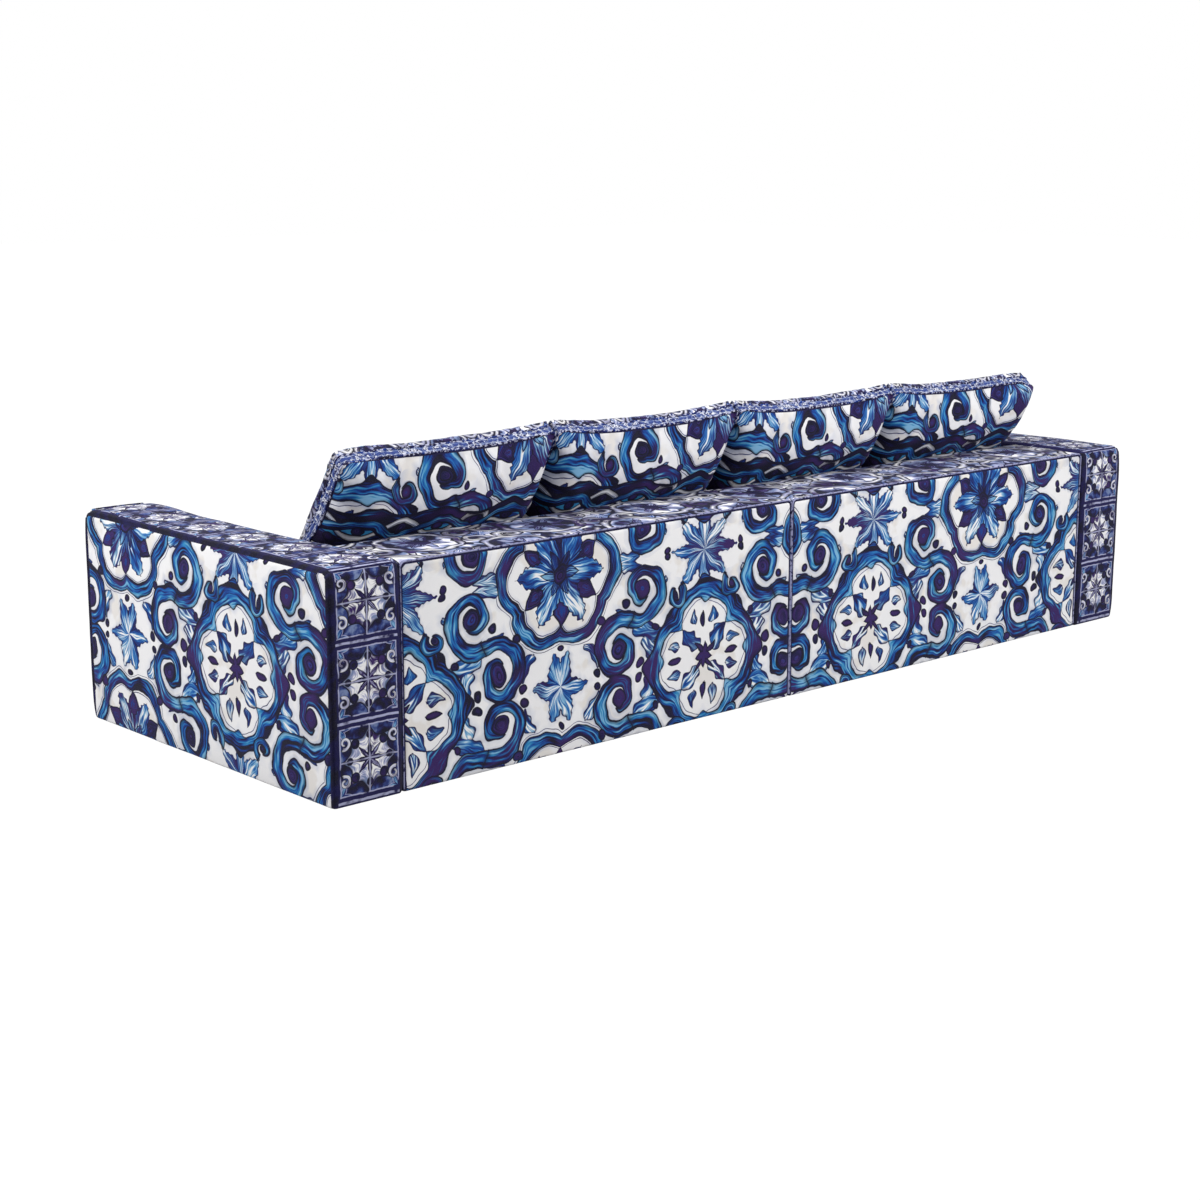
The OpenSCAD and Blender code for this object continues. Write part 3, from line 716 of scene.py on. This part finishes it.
def sewnCord(name, path, radius, closed, material):
    curve = bpy.data.curves.new(name, "CURVE")
    curve.dimensions = "3D"
    curve.bevel_depth, curve.bevel_resolution, curve.use_fill_caps = radius, 2, not closed
    spline = curve.splines.new("POLY")
    spline.points.add(len(path) - 1)
    spline.points.foreach_set("co", np.hstack([path, np.ones((len(path), 1))]).ravel())
    spline.use_cyclic_u = closed
    obj = bpy.data.objects.new(name, curve)
    bpy.context.scene.collection.objects.link(obj)
    bpy.ops.object.select_all(action="DESELECT")
    obj.select_set(True)
    bpy.context.view_layer.objects.active = obj
    bpy.ops.object.convert(target="MESH")
    obj = bpy.context.object
    obj.name = obj.data.name = name
    obj.data.materials.clear()
    obj.data.materials.append(material)
    obj.data.polygons.foreach_set("use_smooth", np.ones(len(obj.data.polygons), bool))
    bpy.ops.object.select_all(action="DESELECT")
    return obj


# how far from a mesh's ends its close rows lie
fineEnds = [e * mm for e in (0, 1.5, 3.5, 6, 9, 13, 18, 24, 32)]
shortEnds = [e * mm for e in (0, 2, 5, 9, 14, 22)]


def inset(across, up, corner):
    # how far points lie inside a panel's side and top edges, which meet in round corners
    over = np.stack([across, up], 1) + corner
    return corner - np.minimum(over.max(axis=1), 0) - np.hypot(*np.maximum(over, 0).T)


def dress(co, no, low, high, swell, wave, seed):
    # the padding lifts the cloth in the middle of each face, and the cloth is never quite even
    middle = np.ones(len(co))
    for axis in range(3):
        share = (2 * co[:, axis] - low[axis] - high[axis]) / (high[axis] - low[axis])
        middle *= np.where(np.abs(no[:, axis]) > 0.7, 1.0, np.clip(1 - share ** 8, 0, 1))
    lift = middle * swell + (ripple(co, 4.5, seed) + 0.35 * ripple(co, 17.0, seed + 1)) * wave
    lift = np.where(no[:, 2] < -0.7, 0, lift)
    co += no * lift[:, None]


# Arms

arm = {
    "step": 15 * mm,
    "ends": [e * mm for e in (0, 1.5, 3.5, 6, 9, 12, 15, 18, 21, 24, 28, 33)],
    "seam": 12 * mm,                # the strip wraps this far over the side panel's edge
    "skin": 8 * mm,                 # points this near the outer face belong to it
    "panelCorner": 26 * mm,
    "innerSeam": 30 * mm,           # inside, it is sewn this far below the top
    "edge": 22 * mm,
    "innerEdge": 24 * mm,
    "upright": 14 * mm,
    "foot": 8 * mm,
    "sink": 1 * mm,                 # the cloth under the frame hangs this far below its boards
    "hem": 40 * mm,
    "groove": (1.6 * mm, 2.2 * mm),     # depth and half width
    "swell": (7 * mm, 2 * mm),      # outer and end faces, then the top and the inner face
    "crown": (8 * mm, 0.22),        # the top is fullest at its front end, over this length
    "sag": (3.5 * mm, -0.08, 0.38),     # and sinks along its inner edge: depth, middle and reach along the arm
    "sagWidth": 30 * mm,            # past the middle of the top
    "sagHeight": 60 * mm,
    "ripple": 1.8 * mm,
    "print": (0.358, 0.02),         # how far the ornament is moved on the side panel
}


def makeArm():
    low, high = [np.array(corner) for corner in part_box("right_arm_cover")]
    low[2] -= arm["sink"]
    obj = gridBox("rightArmCover", [stops(low[axis], high[axis], arm["step"], arm["ends"]) for axis in range(3)])
    co = points(obj)
    edge, innerEdge, foot, upright = arm["edge"], arm["innerEdge"], arm["foot"], arm["upright"]
    for a, b, radii in ((0, 2, (foot, foot, edge, innerEdge)), (1, 2, (foot, foot, edge, edge)),
                        (0, 1, (upright,) * 4)):
        roundSection(co, a, b, low, high, radii)
    setPoints(obj, co)
    no = normals(obj)
    midX, depth = (low[0] + high[0]) / 2, high[1]

    def fromSeam(at):               # from the seam on the outer face inwards
        return inset(np.abs(at[:, 1]) - depth, at[:, 2] - high[2], arm["panelCorner"]) - arm["seam"]

    groove, width = arm["groove"]
    dip = np.exp(-(fromSeam(co) / width) ** 2) * (co[:, 0] > high[0] - arm["skin"])
    swell = np.where((no[:, 0] > 0.5) | (np.abs(no[:, 1]) > 0.7), *arm["swell"])
    crown, reachY = arm["crown"]
    front = np.exp(-((co[:, 1] + depth) / reachY) ** 2) * np.clip(no[:, 2], 0, 1)
    dress(co, no, low, high, swell + front * crown, arm["ripple"], 1)
    co -= no * (dip * groove)[:, None]
    sag, middle, span = arm["sag"]
    inward = rising(co[:, 0], midX + arm["sagWidth"], low[0] + arm["sagWidth"])
    along = np.clip(1 - ((co[:, 1] - middle) / span) ** 4, 0, 1)
    co[:, 2] -= sag * inward * along * rising(co[:, 2], high[2] - arm["sagHeight"], high[2])
    setPoints(obj, co)

    def zoneOf(centre, facing):
        inside = (centre[:, 0] < low[0] + 2 * mm) & (centre[:, 2] < high[2] - arm["innerSeam"]) & \
            (centre[:, 1] < depth - arm["innerSeam"])
        side = ((centre[:, 0] > high[0] - arm["skin"]) & (fromSeam(centre) > 0)) | inside
        under = (facing[:, 2] < -0.9) & (np.abs(centre[:, 0] - midX) < midX - low[0] - arm["hem"]) & \
            (np.abs(centre[:, 1]) < depth - arm["hem"])
        return np.where(under, 2, np.where(side, 0, 1))

    def printOf(zone, co):
        along = np.where(co[:, 1] < 0, 2 * high[2] + depth - co[:, 2] - co[:, 1], co[:, 2] + depth - co[:, 1])
        side = co[:, 1:] + np.array(arm["print"])
        return np.where((zone == 0)[:, None], side, np.stack([co[:, 0] - midX, along], 1))

    layPrint(obj, zoneOf, printOf, (cloth, tiles, dust))
    placeHalves(obj, "cover_print", "arm_cover")


makeArm()
print("arms")


# Back

back = {
    "steps": (18 * mm, 15 * mm, 15 * mm),
    "corner": 18 * mm,
    "rear": 10 * mm,
    "ledge": 30 * mm,
    "tight": 5 * mm,                # the corner along the ledge, away from the rear panel
    "tightens": (30 * mm, 90 * mm),     # between these distances from the rear panel
    "foot": 8 * mm,
    "sink": 1 * mm,
    "hem": 40 * mm,
    "swell": 2.5 * mm,
    "ripple": 1.8 * mm,
    "cord": 2.4 * mm,
    "cordSet": 1.4 * mm,            # its middle lies this far inside the panel's edge
    "creaseAndPaintedShade": (4.5 * mm, 9.5 * mm),     # how far in from the panel's edge the cloth is drawn down; painted shade, a dark cloth, covers the rear panel's edge up to the second and its sides up to the first
    "creaseDepth": 3.5 * mm,
    "creaseWidth": 2.2 * mm,
    "print": (0.1787, 0.12),
    "laceScale": 1.8,               # the ledge's ornament is this much larger than drawn
}


def makeBack():
    low, high = [np.array(corner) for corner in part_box("right_back_cover")]
    low[2] -= back["sink"]
    obj = gridBox("rightBackCover", [stops(low[axis], high[axis], step, fineEnds)
                                     for axis, step in enumerate(back["steps"])])
    co = points(obj)
    corner, rear, ledge, foot = back["corner"], back["rear"], back["ledge"], back["foot"]
    snug = co.copy()
    roundSection(snug, 0, 2, low, high, (foot, foot, back["tight"], back["tight"]))
    roundSection(co, 0, 2, low, high, (foot, foot, corner, corner))
    co += (snug - co) * rising(high[1] - co[:, 1], *back["tightens"])[:, None]
    for a, b, radii in ((1, 2, (foot, foot, rear, ledge)), (0, 1, (rear,) * 4)):
        roundSection(co, a, b, low, high, radii)
    setPoints(obj, co)
    no = normals(obj)
    dress(co, no, low, high, back["swell"], back["ripple"], 5)
    near, far = back["creaseAndPaintedShade"]
    midX, halfX = (low[0] + high[0]) / 2, (high[0] - low[0]) / 2

    def fromEdge(at):               # from the rear panel's rounded edge inwards
        return inset(np.abs(at[:, 0] - midX) - halfX, at[:, 2] - high[2], corner)

    rearward = (no[:, 1] > 0.7) & (co[:, 2] > 30 * mm)
    dip = np.exp(-((fromEdge(co) - (near + far) / 2) / back["creaseWidth"]) ** 2) * rearward
    co[:, 1] -= dip * back["creaseDepth"]
    setPoints(obj, co)

    def zoneOf(centre, facing):
        x, y, z = centre.T
        panel = y > high[1] - rear * 0.6
        # painted shade: zone 3 is a dark cloth round the rear panel's edge and down its sides, where the seams lie
        # in shade
        flankShade = (np.abs(x - midX) > halfX - near) & (y > high[1] - 40 * mm) & (z < high[2] - corner * 0.35)
        under, hem = facing[:, 2] < -0.9, back["hem"]
        inner = under & (x > low[0] + hem) & (x < high[0] - hem) & (y > low[1] + hem) & (y < high[1] - hem)
        return np.where((panel & (fromEdge(centre) < far)) | flankShade, 3,
                        np.where(inner, 2, np.where(panel | under, 0, 1)))

    def printOf(zone, co):
        panel = np.stack([co[:, 0] - low[0], co[:, 2]], 1) + np.array(back["print"])
        top = np.stack([co[:, 0] - low[0], co[:, 1] + co[:, 2]], 1) / back["laceScale"]
        return np.where((zone == 0)[:, None], panel, top)

    layPrint(obj, zoneOf, printOf, (cloth, lace, dust, creaseAndPaintedShade))
    placeHalves(obj, "cover_print", "back_cover")

    # the cord runs up one side of the rear panel, round its top and down again
    within = back["cordSet"]
    left = low[0] + within
    right, y, top = high - within
    bend = corner - within
    turn = np.radians(np.linspace(0, 90, 9))
    rise = np.linspace(low[2] + foot + back["sink"], top - bend, 40)[:-1]
    run = np.linspace(right - bend, left + bend, 90)[1:-1]
    path = [(right, y, z) for z in rise]
    path += [(right - bend + bend * math.cos(t), y, top - bend + bend * math.sin(t)) for t in turn]
    path += [(x, y, top) for x in run]
    path += [(left + bend - bend * math.sin(t), y, top - bend + bend * math.cos(t)) for t in turn]
    path += [(left, y, z) for z in rise[::-1]]
    path = np.array(path)
    path[:, 1] += ripple(path, 9.0, 3) * 0.8 * mm
    placeHalves(sewnCord("rightBackPiping", path, back["cord"], False, plainCord), "piping", "back_piping")


makeBack()
print("back")


# Base: the padded front border and the cloth under the seat cushions

frontBorder = {
    "steps": (18 * mm, 6 * mm, 16 * mm),
    "depthEnds": [0, 2 * mm, 5 * mm],
    "end": 6 * mm,                  # roundings of the front face's corners
    "foot": 8 * mm,
    "edge": 11 * mm,
    "flat": 1 * mm,                 # and of the edges that lie against the frame
    "puff": 1 * mm,
    "ripple": 1.5 * mm,
    "print": 0.18,
}

deck = {
    "steps": (15 * mm, 12 * mm),
    "ends": [0, 6 * mm],
    "quilt": 0.14,
    "stitch": (0.9 * mm, 9 * mm),   # depth and half width
}


def makeBorder():
    low, high = [np.array(corner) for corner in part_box("right_base_front_cover")]
    ends = (shortEnds, frontBorder["depthEnds"], shortEnds)
    obj = gridBox("rightFrontBorder", [stops(low[axis], high[axis], step, ends[axis])
                                       for axis, step in enumerate(frontBorder["steps"])])
    co = points(obj)
    edge, flat = frontBorder["edge"], frontBorder["flat"]
    for a, b, radii in ((0, 2, (frontBorder["end"],) * 4), (1, 2, (frontBorder["foot"], flat, flat, edge)),
                        (0, 1, (edge, edge, flat, flat))):
        roundSection(co, a, b, low, high, radii)
    setPoints(obj, co)
    no = normals(obj)
    lift = np.where(no[:, 1] < -0.5, ripple(co, 5.0, 9) * frontBorder["ripple"] + frontBorder["puff"], 0.0)
    setPoints(obj, co + no * lift[:, None])
    layPrint(obj, oneZone, lambda zone, co: np.stack([co[:, 0] + frontBorder["print"], co[:, 2] - co[:, 1]], 1),
             (cloth,))
    placeHalves(obj, "cover_print", "base_front_cover")


def oneZone(centre, facing):
    return np.zeros(len(centre))


def makeDeck():
    low, high = [np.array(corner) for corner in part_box("right_deck_cover")]
    rows = [stops(low[axis], high[axis], step, deck["ends"]) for axis, step in enumerate(deck["steps"])]
    obj = gridBox("rightPlatformCloth", rows + [np.array([low[2], high[2]])])
    co = points(obj)
    cell, (depth, width) = deck["quilt"], deck["stitch"]
    slants = [np.abs(slant % cell - cell / 2) for slant in (co[:, 0] + co[:, 1], co[:, 0] - co[:, 1])]
    co[:, 2] -= np.where(co[:, 2] > low[2] + mm, np.exp(-(np.minimum(*slants) / width) ** 2) * depth, 0)
    setPoints(obj, co)
    layPrint(obj, oneZone, lambda zone, co: co[:, :2], (platform,))
    placeHalves(obj, "platform_cloth", "deck_cover")


makeBorder()
makeDeck()
print("base")


# Cushions: local x across the sofa, y along the cushion, z through it

seatCushion = {
    "border": 130 * mm,
    "gusset": 130 * mm,             # the whole border lies between the cords
    "shoulder": 0.0,
    "crownUp": 40 * mm,
    "crownDown": 0.0,
    "corner": (16 * mm, 16 * mm),   # at the lower and the upper cord
    "draw": 8 * mm,                 # the sides are drawn in this far between the corners
    "step": 14 * mm,
    "cord": 3.0 * mm,
    "cordLift": 2.6 * mm,           # the lower cord stands this far above the deck
    "cap": 16 * mm,                 # blown up, the cloth moves no further than this
    "pressure": 3.0,
    "start": 0.80,                  # the share of the crown that it has before
    "spare": -0.02,                 # less than nothing: the cloth is larger than its pattern
    "waves": ((5.0, 4.0 * mm), (14.0, 1.2 * mm)),
    "print": (0.09, 0.15),          # how far the ornament is moved, and how much further on each cushion
    "printStep": 0.1787,
}

backCushion = {
    "length": 0.504,
    "border": 48 * mm,
    "gusset": 28 * mm,              # between the two cords; from the second one on it is the front panel
    "shoulder": 6 * mm,
    "hollow": 4 * mm,               # the top edge dips between its corners
    "ear": 13 * mm,                 # corners pushed up where two cushions meet
    "droop": {1: 9 * mm, 4: 15 * mm},   # outer corners sink
    "puff": {1: 30 * mm, 4: 6 * mm},
    "press": 46 * mm,               # where two cushions meet, the rear panel is fuller
    "spread": {1: 18 * mm, 4: 0.0},
    "tip": {1: (12 * mm, -10 * mm, -14 * mm), 4: (2 * mm, 0.0, 0.0)},   # and stick out at the rear panel
    "lean": 35.0,
    "crownUp": 62 * mm,
    "crownDown": 78 * mm,
    "corner": (22 * mm, 12 * mm),
    "draw": 8 * mm,
    "step": 11 * mm,
    "cord": 3.0 * mm,
    "cap": 26 * mm,
    "pressure": 4.0,
    "start": 0.82,
    "spare": -0.03,
    "waves": ((6.0, 4.0 * mm), (15.0, 1.6 * mm)),   # scale and height, coarse and fine
    "soft": (20 * mm, 3),           # round its edge the front panel is smoothed this far in, this many times
    "roll": (0.060, 0.014),         # over this height above the ledge the rear panel turns under by this much
    "gap": 1.5 * mm,                # between the rear panel and the ledge's cloth
}

# the cushions' cloth, as it is blown up
ticking = {"frames": 20, "quality": 6, "mass": 0.25, "stretch": 12, "shear": 4, "bending": 0.4}
cushionEnds = [e * mm for e in (0, 1, 3, 7, 12, 18, 26)]


def cushionForm(name, size, spec):
    half = [s / 2 for s in size]
    border = spec["border"]
    low, high = np.array([-half[0], -half[1], -border / 2]), np.array([half[0], half[1], border / 2])
    second = low[2] + spec["gusset"]
    layers = np.unique(np.concatenate([np.linspace(low[2], second, 6 if second < high[2] else 14),
                                       np.linspace(second, high[2], 7)]).round(6))
    obj = gridBox(name, [stops(low[axis], high[axis], spec["step"], cushionEnds) for axis in (0, 1)] + [layers])
    rest = points(obj)
    co = rest.copy()
    # the outline is rounder at the rear seam than at the front one, and its sides draw in between the corners
    for layer in layers:
        pick = np.isclose(rest[:, 2], layer, atol=1e-5)
        part = co[pick]
        t = (layer - low[2]) / border
        roundSection(part, 0, 1, low, high, (spec["corner"][0] * (1 - t) + spec["corner"][1] * t,) * 4)
        co[pick] = part
    share = np.clip((rest[:, 2] - second) / max(high[2] - second, mm), 0, 1)
    bulge = np.sin(share * math.pi) * spec["shoulder"]
    bulge += np.sin(rising(rest[:, 2], low[2], second) * math.pi) * spec["gusset"] * 0.03
    qx, qy = rest[:, 0] / half[0], rest[:, 1] / half[1]
    for axis, q in ((0, qy), (1, qx)):
        co[:, axis] *= 1 - (spec["draw"] - bulge) * (1 - q ** 2) / half[axis]
    swell = np.clip((1 - qx ** 2) * (1 - qy ** 2), 0, 1) ** 0.45 * spec["start"]
    co[:, 2] += np.where(rest[:, 2] >= high[2] - 1e-6, swell * spec["crownUp"], 0)
    co[:, 2] -= np.where(rest[:, 2] <= low[2] + 1e-6, swell * spec["crownDown"], 0)
    setPoints(obj, co)
    atEdge = np.isclose(np.abs(rest[:, 0]), half[0]) | np.isclose(np.abs(rest[:, 1]), half[1])
    rims = [np.isclose(rest[:, 2], z, atol=1e-5) & atEdge for z in (low[2], second, high[2])]
    return obj, rest, rims


def soften(obj, pick, repeat):
    mesh = obj.data
    mesh.polygons.foreach_set("select", np.zeros(len(mesh.polygons), bool))
    mesh.edges.foreach_set("select", np.zeros(len(mesh.edges), bool))
    mesh.vertices.foreach_set("select", pick)
    bpy.context.tool_settings.mesh_select_mode = (True, False, False)
    bpy.context.view_layer.objects.active = obj
    bpy.ops.object.mode_set(mode="EDIT")
    bpy.ops.mesh.vertices_smooth(factor=0.5, repeat=repeat)
    bpy.ops.object.mode_set(mode="OBJECT")
    bpy.context.tool_settings.mesh_select_mode = (False, True, False)


def inflate(obj, spec, held):
    # held points stay where the cords are sewn; the panels swell between them
    start = points(obj)
    group = obj.vertex_groups.new(name="held")
    group.add([int(k) for k in np.flatnonzero(held)], 1.0, "REPLACE")
    soft = obj.modifiers.new("soft", "CLOTH")
    made = soft.settings
    made.quality, made.mass = ticking["quality"], ticking["mass"]
    made.tension_stiffness = made.compression_stiffness = ticking["stretch"]
    made.shear_stiffness, made.bending_stiffness = ticking["shear"], ticking["bending"]
    made.use_pressure, made.uniform_pressure_force = True, spec["pressure"]
    made.vertex_group_mass, made.pin_stiffness = "held", 1.0
    made.shrink_min = spec["spare"]
    made.effector_weights.gravity = 0
    soft.collision_settings.use_collision = False
    scene = bpy.context.scene
    for step in range(1, ticking["frames"] + 1):
        scene.frame_set(step)
    bpy.context.view_layer.objects.active = obj
    bpy.ops.object.modifier_apply(modifier="soft")
    scene.frame_set(1)
    moved = points(obj) - start
    far = np.linalg.norm(moved, axis=1)
    moved *= np.minimum(1, spec["cap"] / np.maximum(far, 1e-9))[:, None]
    setPoints(obj, start + moved)
    obj.vertex_groups.clear()


def crumpled(obj, co, seed, spec, still):
    # each cushion is uneven in its own way, except at its still points
    (coarse, high), (fine, low) = spec["waves"]
    shift = ripple(co, coarse, seed) * high + ripple(co, fine, seed + 1) * low
    return co + normals(obj) * np.where(still, 0.0, shift)[:, None]


def finishCushion(obj, number, name, spec, rest, half, offset, face):
    mesh = obj.data
    corners = np.empty(len(mesh.loops), dtype=np.int32)
    mesh.loops.foreach_get("vertex_index", corners)
    flat = rest[np.array([polygon.vertices[:] for polygon in mesh.polygons])]
    middle = flat.mean(axis=1)
    inBand = np.ptp(flat[:, :, 2], axis=1) > 1e-6
    second = spec["gusset"] - spec["border"] / 2
    fromEdge = np.minimum(half[0] - np.abs(middle[:, 0]), half[1] - np.abs(middle[:, 1]))
    # painted shade: the outermost row of the rear or lower panel, beside its cord, is dark cloth
    shadeByCord = ~inBand & (middle[:, 2] < 0) & (fromEdge < 1 * mm)
    zones = np.where(inBand, np.where(middle[:, 2] < second, 1, 3), np.where(shadeByCord, 2, 0))
    onSide = np.repeat(np.ptp(flat[:, :, 0], axis=1) < 1e-6, 4)
    x, y, z = rest[corners].T

    def printOf(zone, co):
        band = np.stack([np.where(onSide, y + half[0], x), z], 1)
        return np.where((zone % 2 == 1)[:, None], band, np.stack([x, y], 1) + np.array(offset))

    layPrint(obj, lambda centre, facing: zones, printOf, (face, gusset, creaseAndPaintedShade, lace))
    place(obj, f"{name}_{number}_body", "cushion_print", f"{name}_{number}")


def sewRim(obj, word, co, lying, rim, spec, body, lift=0.0):
    # a cord through one seam's points, in their order round the flat cushion
    path = co[rim][np.argsort(np.arctan2(lying[rim, 1], lying[rim, 0]))]
    path[:, 2] += lift
    place(sewnCord(f"{obj.name}{word}Piping", path, spec["cord"], True, cord), body, "piping")


def settle(co, rest, half, number, spec):
    # outer corners sink, the corners between two cushions are pushed up, and the top edge dips between them
    outer = {1: -1, 4: 1}.get(number, 0)
    x, y = rest[:, 0] / half[0], rest[:, 1] / half[1]
    top = rising(y, 0.1, 1) ** 1.5
    rise = -spec["hollow"] * (1 - x ** 2)
    for side in (-1, 1):
        near = rising(x * side, 0.35, 1) ** 2
        rise += near * (-spec["droop"][number] if side == outer else spec["ear"])
        if side == outer:
            co[:, 0] += side * near * rising(y, -1, 1) * spec["spread"][number]
    co[:, 1] += rise * top
    rear = rest[:, 2] < -spec["border"] / 2 + 1e-6
    rear = rear * rising(y, -1, -0.375) * (1 - np.maximum(np.abs(x), np.abs(y)) ** 30)
    for side in (-1, 1):
        near = np.exp(-((x * side - 0.92) * half[0] / 0.09) ** 2) * rear
        if side == outer:
            near *= spec["puff"][number] * (1 - 0.3 * rising(y, 0.45, 0.85))
            co[:, 0] += near * side
        else:
            near *= spec["press"] * rising(y, 0.9, 0.9 - 1 / 1.3)
        co[:, 2] -= near * 0.8
    tip = rising(x * outer, 0.82, 1) * rising(y, 0.75, 1) ** 2
    tip *= rising(rest[:, 2], spec["border"] / 2, -spec["border"] / 2)
    for axis, far in enumerate(spec["tip"].get(number, ())):
        co[:, axis] += tip * far * (outer if axis == 0 else 1)


def clearOf(co, gap):
    # the rear panel lies on the ledge: points inside the back are moved out to its cloth
    low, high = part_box("right_back_cover")
    radius = back["ledge"]
    edgeY, edgeZ = low[1] + radius, high[2] - radius
    dy, dz = co[:, 1] - edgeY, co[:, 2] - edgeZ
    far = np.hypot(dy, dz)
    atEdge = (dy < 0) & (dz > 0) & (far < radius + gap)
    scale = np.where(atEdge, (radius + gap) / np.maximum(far, 1e-6), 1.0)
    co[:, 1] = np.where(atEdge, edgeY + dy * scale, co[:, 1])
    co[:, 2] = np.where(atEdge, edgeZ + dz * scale, co[:, 2])
    over = (co[:, 1] >= edgeY) & (co[:, 2] < high[2] + gap) & (co[:, 2] > high[2] - 100 * mm)
    co[over, 2] = high[2] + gap
    inFront = (co[:, 2] <= edgeZ) & (co[:, 1] > low[1] - gap)
    co[inFront, 1] = low[1] - gap


def makeBackCushions():
    spec = backCushion
    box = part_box("back_cushion_1")
    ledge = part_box("right_back_cover")[1][2]
    half = ((box[1][0] - box[0][0]) / 2, spec["length"] / 2)
    form, rest, rims = cushionForm("backCushionForm", (half[0] * 2, half[1] * 2), spec)
    inflate(form, spec, rims[0] | rims[1] | rims[2])
    fromEdge = np.minimum(half[0] - np.abs(rest[:, 0]), half[1] - np.abs(rest[:, 1]))
    width, repeat = spec["soft"]
    soften(form, (rest[:, 2] > spec["gusset"] - spec["border"] / 2 + mm) & (fromEdge < width), repeat)
    tilt = np.array(Matrix.Rotation(math.radians(90 - spec["lean"]), 3, "X"))
    height, depth = spec["roll"]
    for number in (1, 2, 3, 4):
        obj = copied(form, f"backCushion{number}")
        lying = crumpled(obj, points(obj), 11 * number, spec, rims[0] | rims[1])
        settle(lying, rest, half, number, spec)
        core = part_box(f"back_core_{number}")
        co = lying @ tilt.T + np.array((core[0] + core[1]) / 2)
        near = rising(co[:, 2], ledge + height, ledge) ** 1.6
        co[:, 1] -= near * depth * rising(rest[:, 2], spec["border"] / 2, -spec["border"] / 2)
        clearOf(co, spec["gap"])
        setPoints(obj, co)
        finishCushion(obj, number, "back_cushion", spec, rest, half, (0.0, 0.0), cushionCloth)
        for rim, word in zip(rims, ("Rear", "Front")):
            sewRim(obj, word, co, lying, rim, spec, f"back_cushion_{number}_body")
    bpy.data.objects.remove(form)


def makeSeatCushions():
    spec = seatCushion
    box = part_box("seat_cushion_1")
    half = ((box[1][0] - box[0][0]) / 2, (box[1][1] - box[0][1]) / 2)
    form, rest, rims = cushionForm("seatCushionForm", (half[0] * 2, half[1] * 2), spec)
    rims = (rims[0], rims[2])
    inflate(form, spec, rims[0] | rims[1] | (rest[:, 2] < -spec["border"] / 2 + mm))
    for number in (1, 2, 3, 4):
        obj = copied(form, f"seatCushion{number}")
        flat = normals(obj)[:, 2] < -0.7
        lying = crumpled(obj, points(obj), 5 * number + 2, spec, rims[0] | rims[1] | flat)
        low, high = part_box(f"seat_cushion_{number}")
        foot = low[2] + spec["border"] / 2 + 0.5 * mm
        co = lying + np.array([(low[0] + high[0]) / 2, (low[1] + high[1]) / 2, foot])
        setPoints(obj, co)
        offset = (spec["printStep"] * number + spec["print"][0], spec["print"][1])
        finishCushion(obj, number, "seat_cushion", spec, rest, half, offset, cloth)
        for rim, word, lift in zip(rims, ("Lower", "Upper"), (spec["cordLift"], 0.0)):
            sewRim(obj, word, co, lying, rim, spec, f"seat_cushion_{number}_body", lift)
    bpy.data.objects.remove(form)


makeBackCushions()
print("back cushions")
makeSeatCushions()
print("seat cushions")


# Finishes of the carried-over pieces

finishes = {
    "front_rail": hardwood, "rear_rail": hardwood, "side_rails": hardwood, "cross_bearers": hardwood,
    "arm_frame": hardwood, "back_frame": hardwood, "arm_panels": plywood, "back_panels": plywood,
    "webbing_long": webbing, "webbing_cross": webbing, "deck_pad": felt, "dust_cover": dust,
    "arm_foam": foam, "back_foam": foam, "glides": plastic, "frame_bolts": zinc,
}
shared = {"connector_bolts": zinc, "connector_plates": zinc}
for number in (1, 2, 3, 4):
    shared[f"seat_core_{number}"] = shared[f"back_core_{number}"] = foam
for part, material in finishes.items():
    for side in ("left", "right"):
        shared[f"{side}_{part}"] = material
for name, material in shared.items():
    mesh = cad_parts[name].data
    mesh.materials.clear()
    mesh.materials.append(material)
print("carried-over pieces")


# Floor, world and lamps

studio = {
    "floor": 60,
    "world": 0.20,
    "lift": 0.92,                   # how much of the paper's own light the camera sees
    "paper": 1.12,
    "lampSize": 3.0,
    "lamps": (                      # place, aim and power
        ((-1.2, 5.6, 3.6), (0, 0.3, 0.4), 312.0),
        ((4.8, -0.8, 2.8), (0.5, 0, 0.3), 182.0),
        ((0.0, 0.4, 4.5), (0, 0.2, 0), 100.0),
    ),
}


def seenDirectly(tree):             # 1 for the camera and for what gloss and glass show
    path = tree.nodes.new("ShaderNodeLightPath")
    seen = Field(tree, path.outputs["Is Camera Ray"])
    for ray in ("Is Glossy Ray", "Is Transmission Ray"):
        seen = seen.high(Field(tree, path.outputs[ray]))
    return seen


def makeStudio():
    bpy.ops.mesh.primitive_plane_add(size=studio["floor"])
    floor = bpy.context.object
    floor.name = "studioFloor"
    finish = Finish("studioPaper", roughness=0.9)
    paper = finish.cloud(finish.onPiece(), 30, 2, flat=False)
    finish.feed("Base Color", finish.blend(tint(120, 120, 122), tint(114, 114, 116), paper))
    glow = finish.node("ShaderNodeEmission", {}, {"Color": (1, 1, 1, 1), "Strength": studio["paper"]})
    mixed = finish.node("ShaderNodeMixShader", {}, {0: seenDirectly(finish.tree) * studio["lift"],
                                                    1: finish.shader.outputs[0], 2: glow.outputs[0]})
    plug(finish.tree, mixed.outputs[0], finish.tree.nodes["Material Output"].inputs["Surface"])
    floor.data.materials.append(finish.material)

    world = bpy.data.worlds.new("studioWorld")
    bpy.context.scene.world = world
    world.use_nodes = True
    tree = world.node_tree
    plain = tree.nodes["Background"]
    plain.inputs["Color"].default_value = (1, 1, 1, 1)
    plug(tree, seenDirectly(tree) * (1 - studio["world"]) + studio["world"], plain.inputs["Strength"])

    for at, target, power in studio["lamps"]:
        bpy.ops.object.light_add(type="AREA", location=at)
        lamp = bpy.context.object
        lamp.data.size, lamp.data.energy = studio["lampSize"], power
        lamp.rotation_euler = (Vector(target) - Vector(at)).to_track_quat("-Z", "Y").to_euler()


makeStudio()
bpy.context.scene.view_settings.view_transform = "Standard"
print("studio")
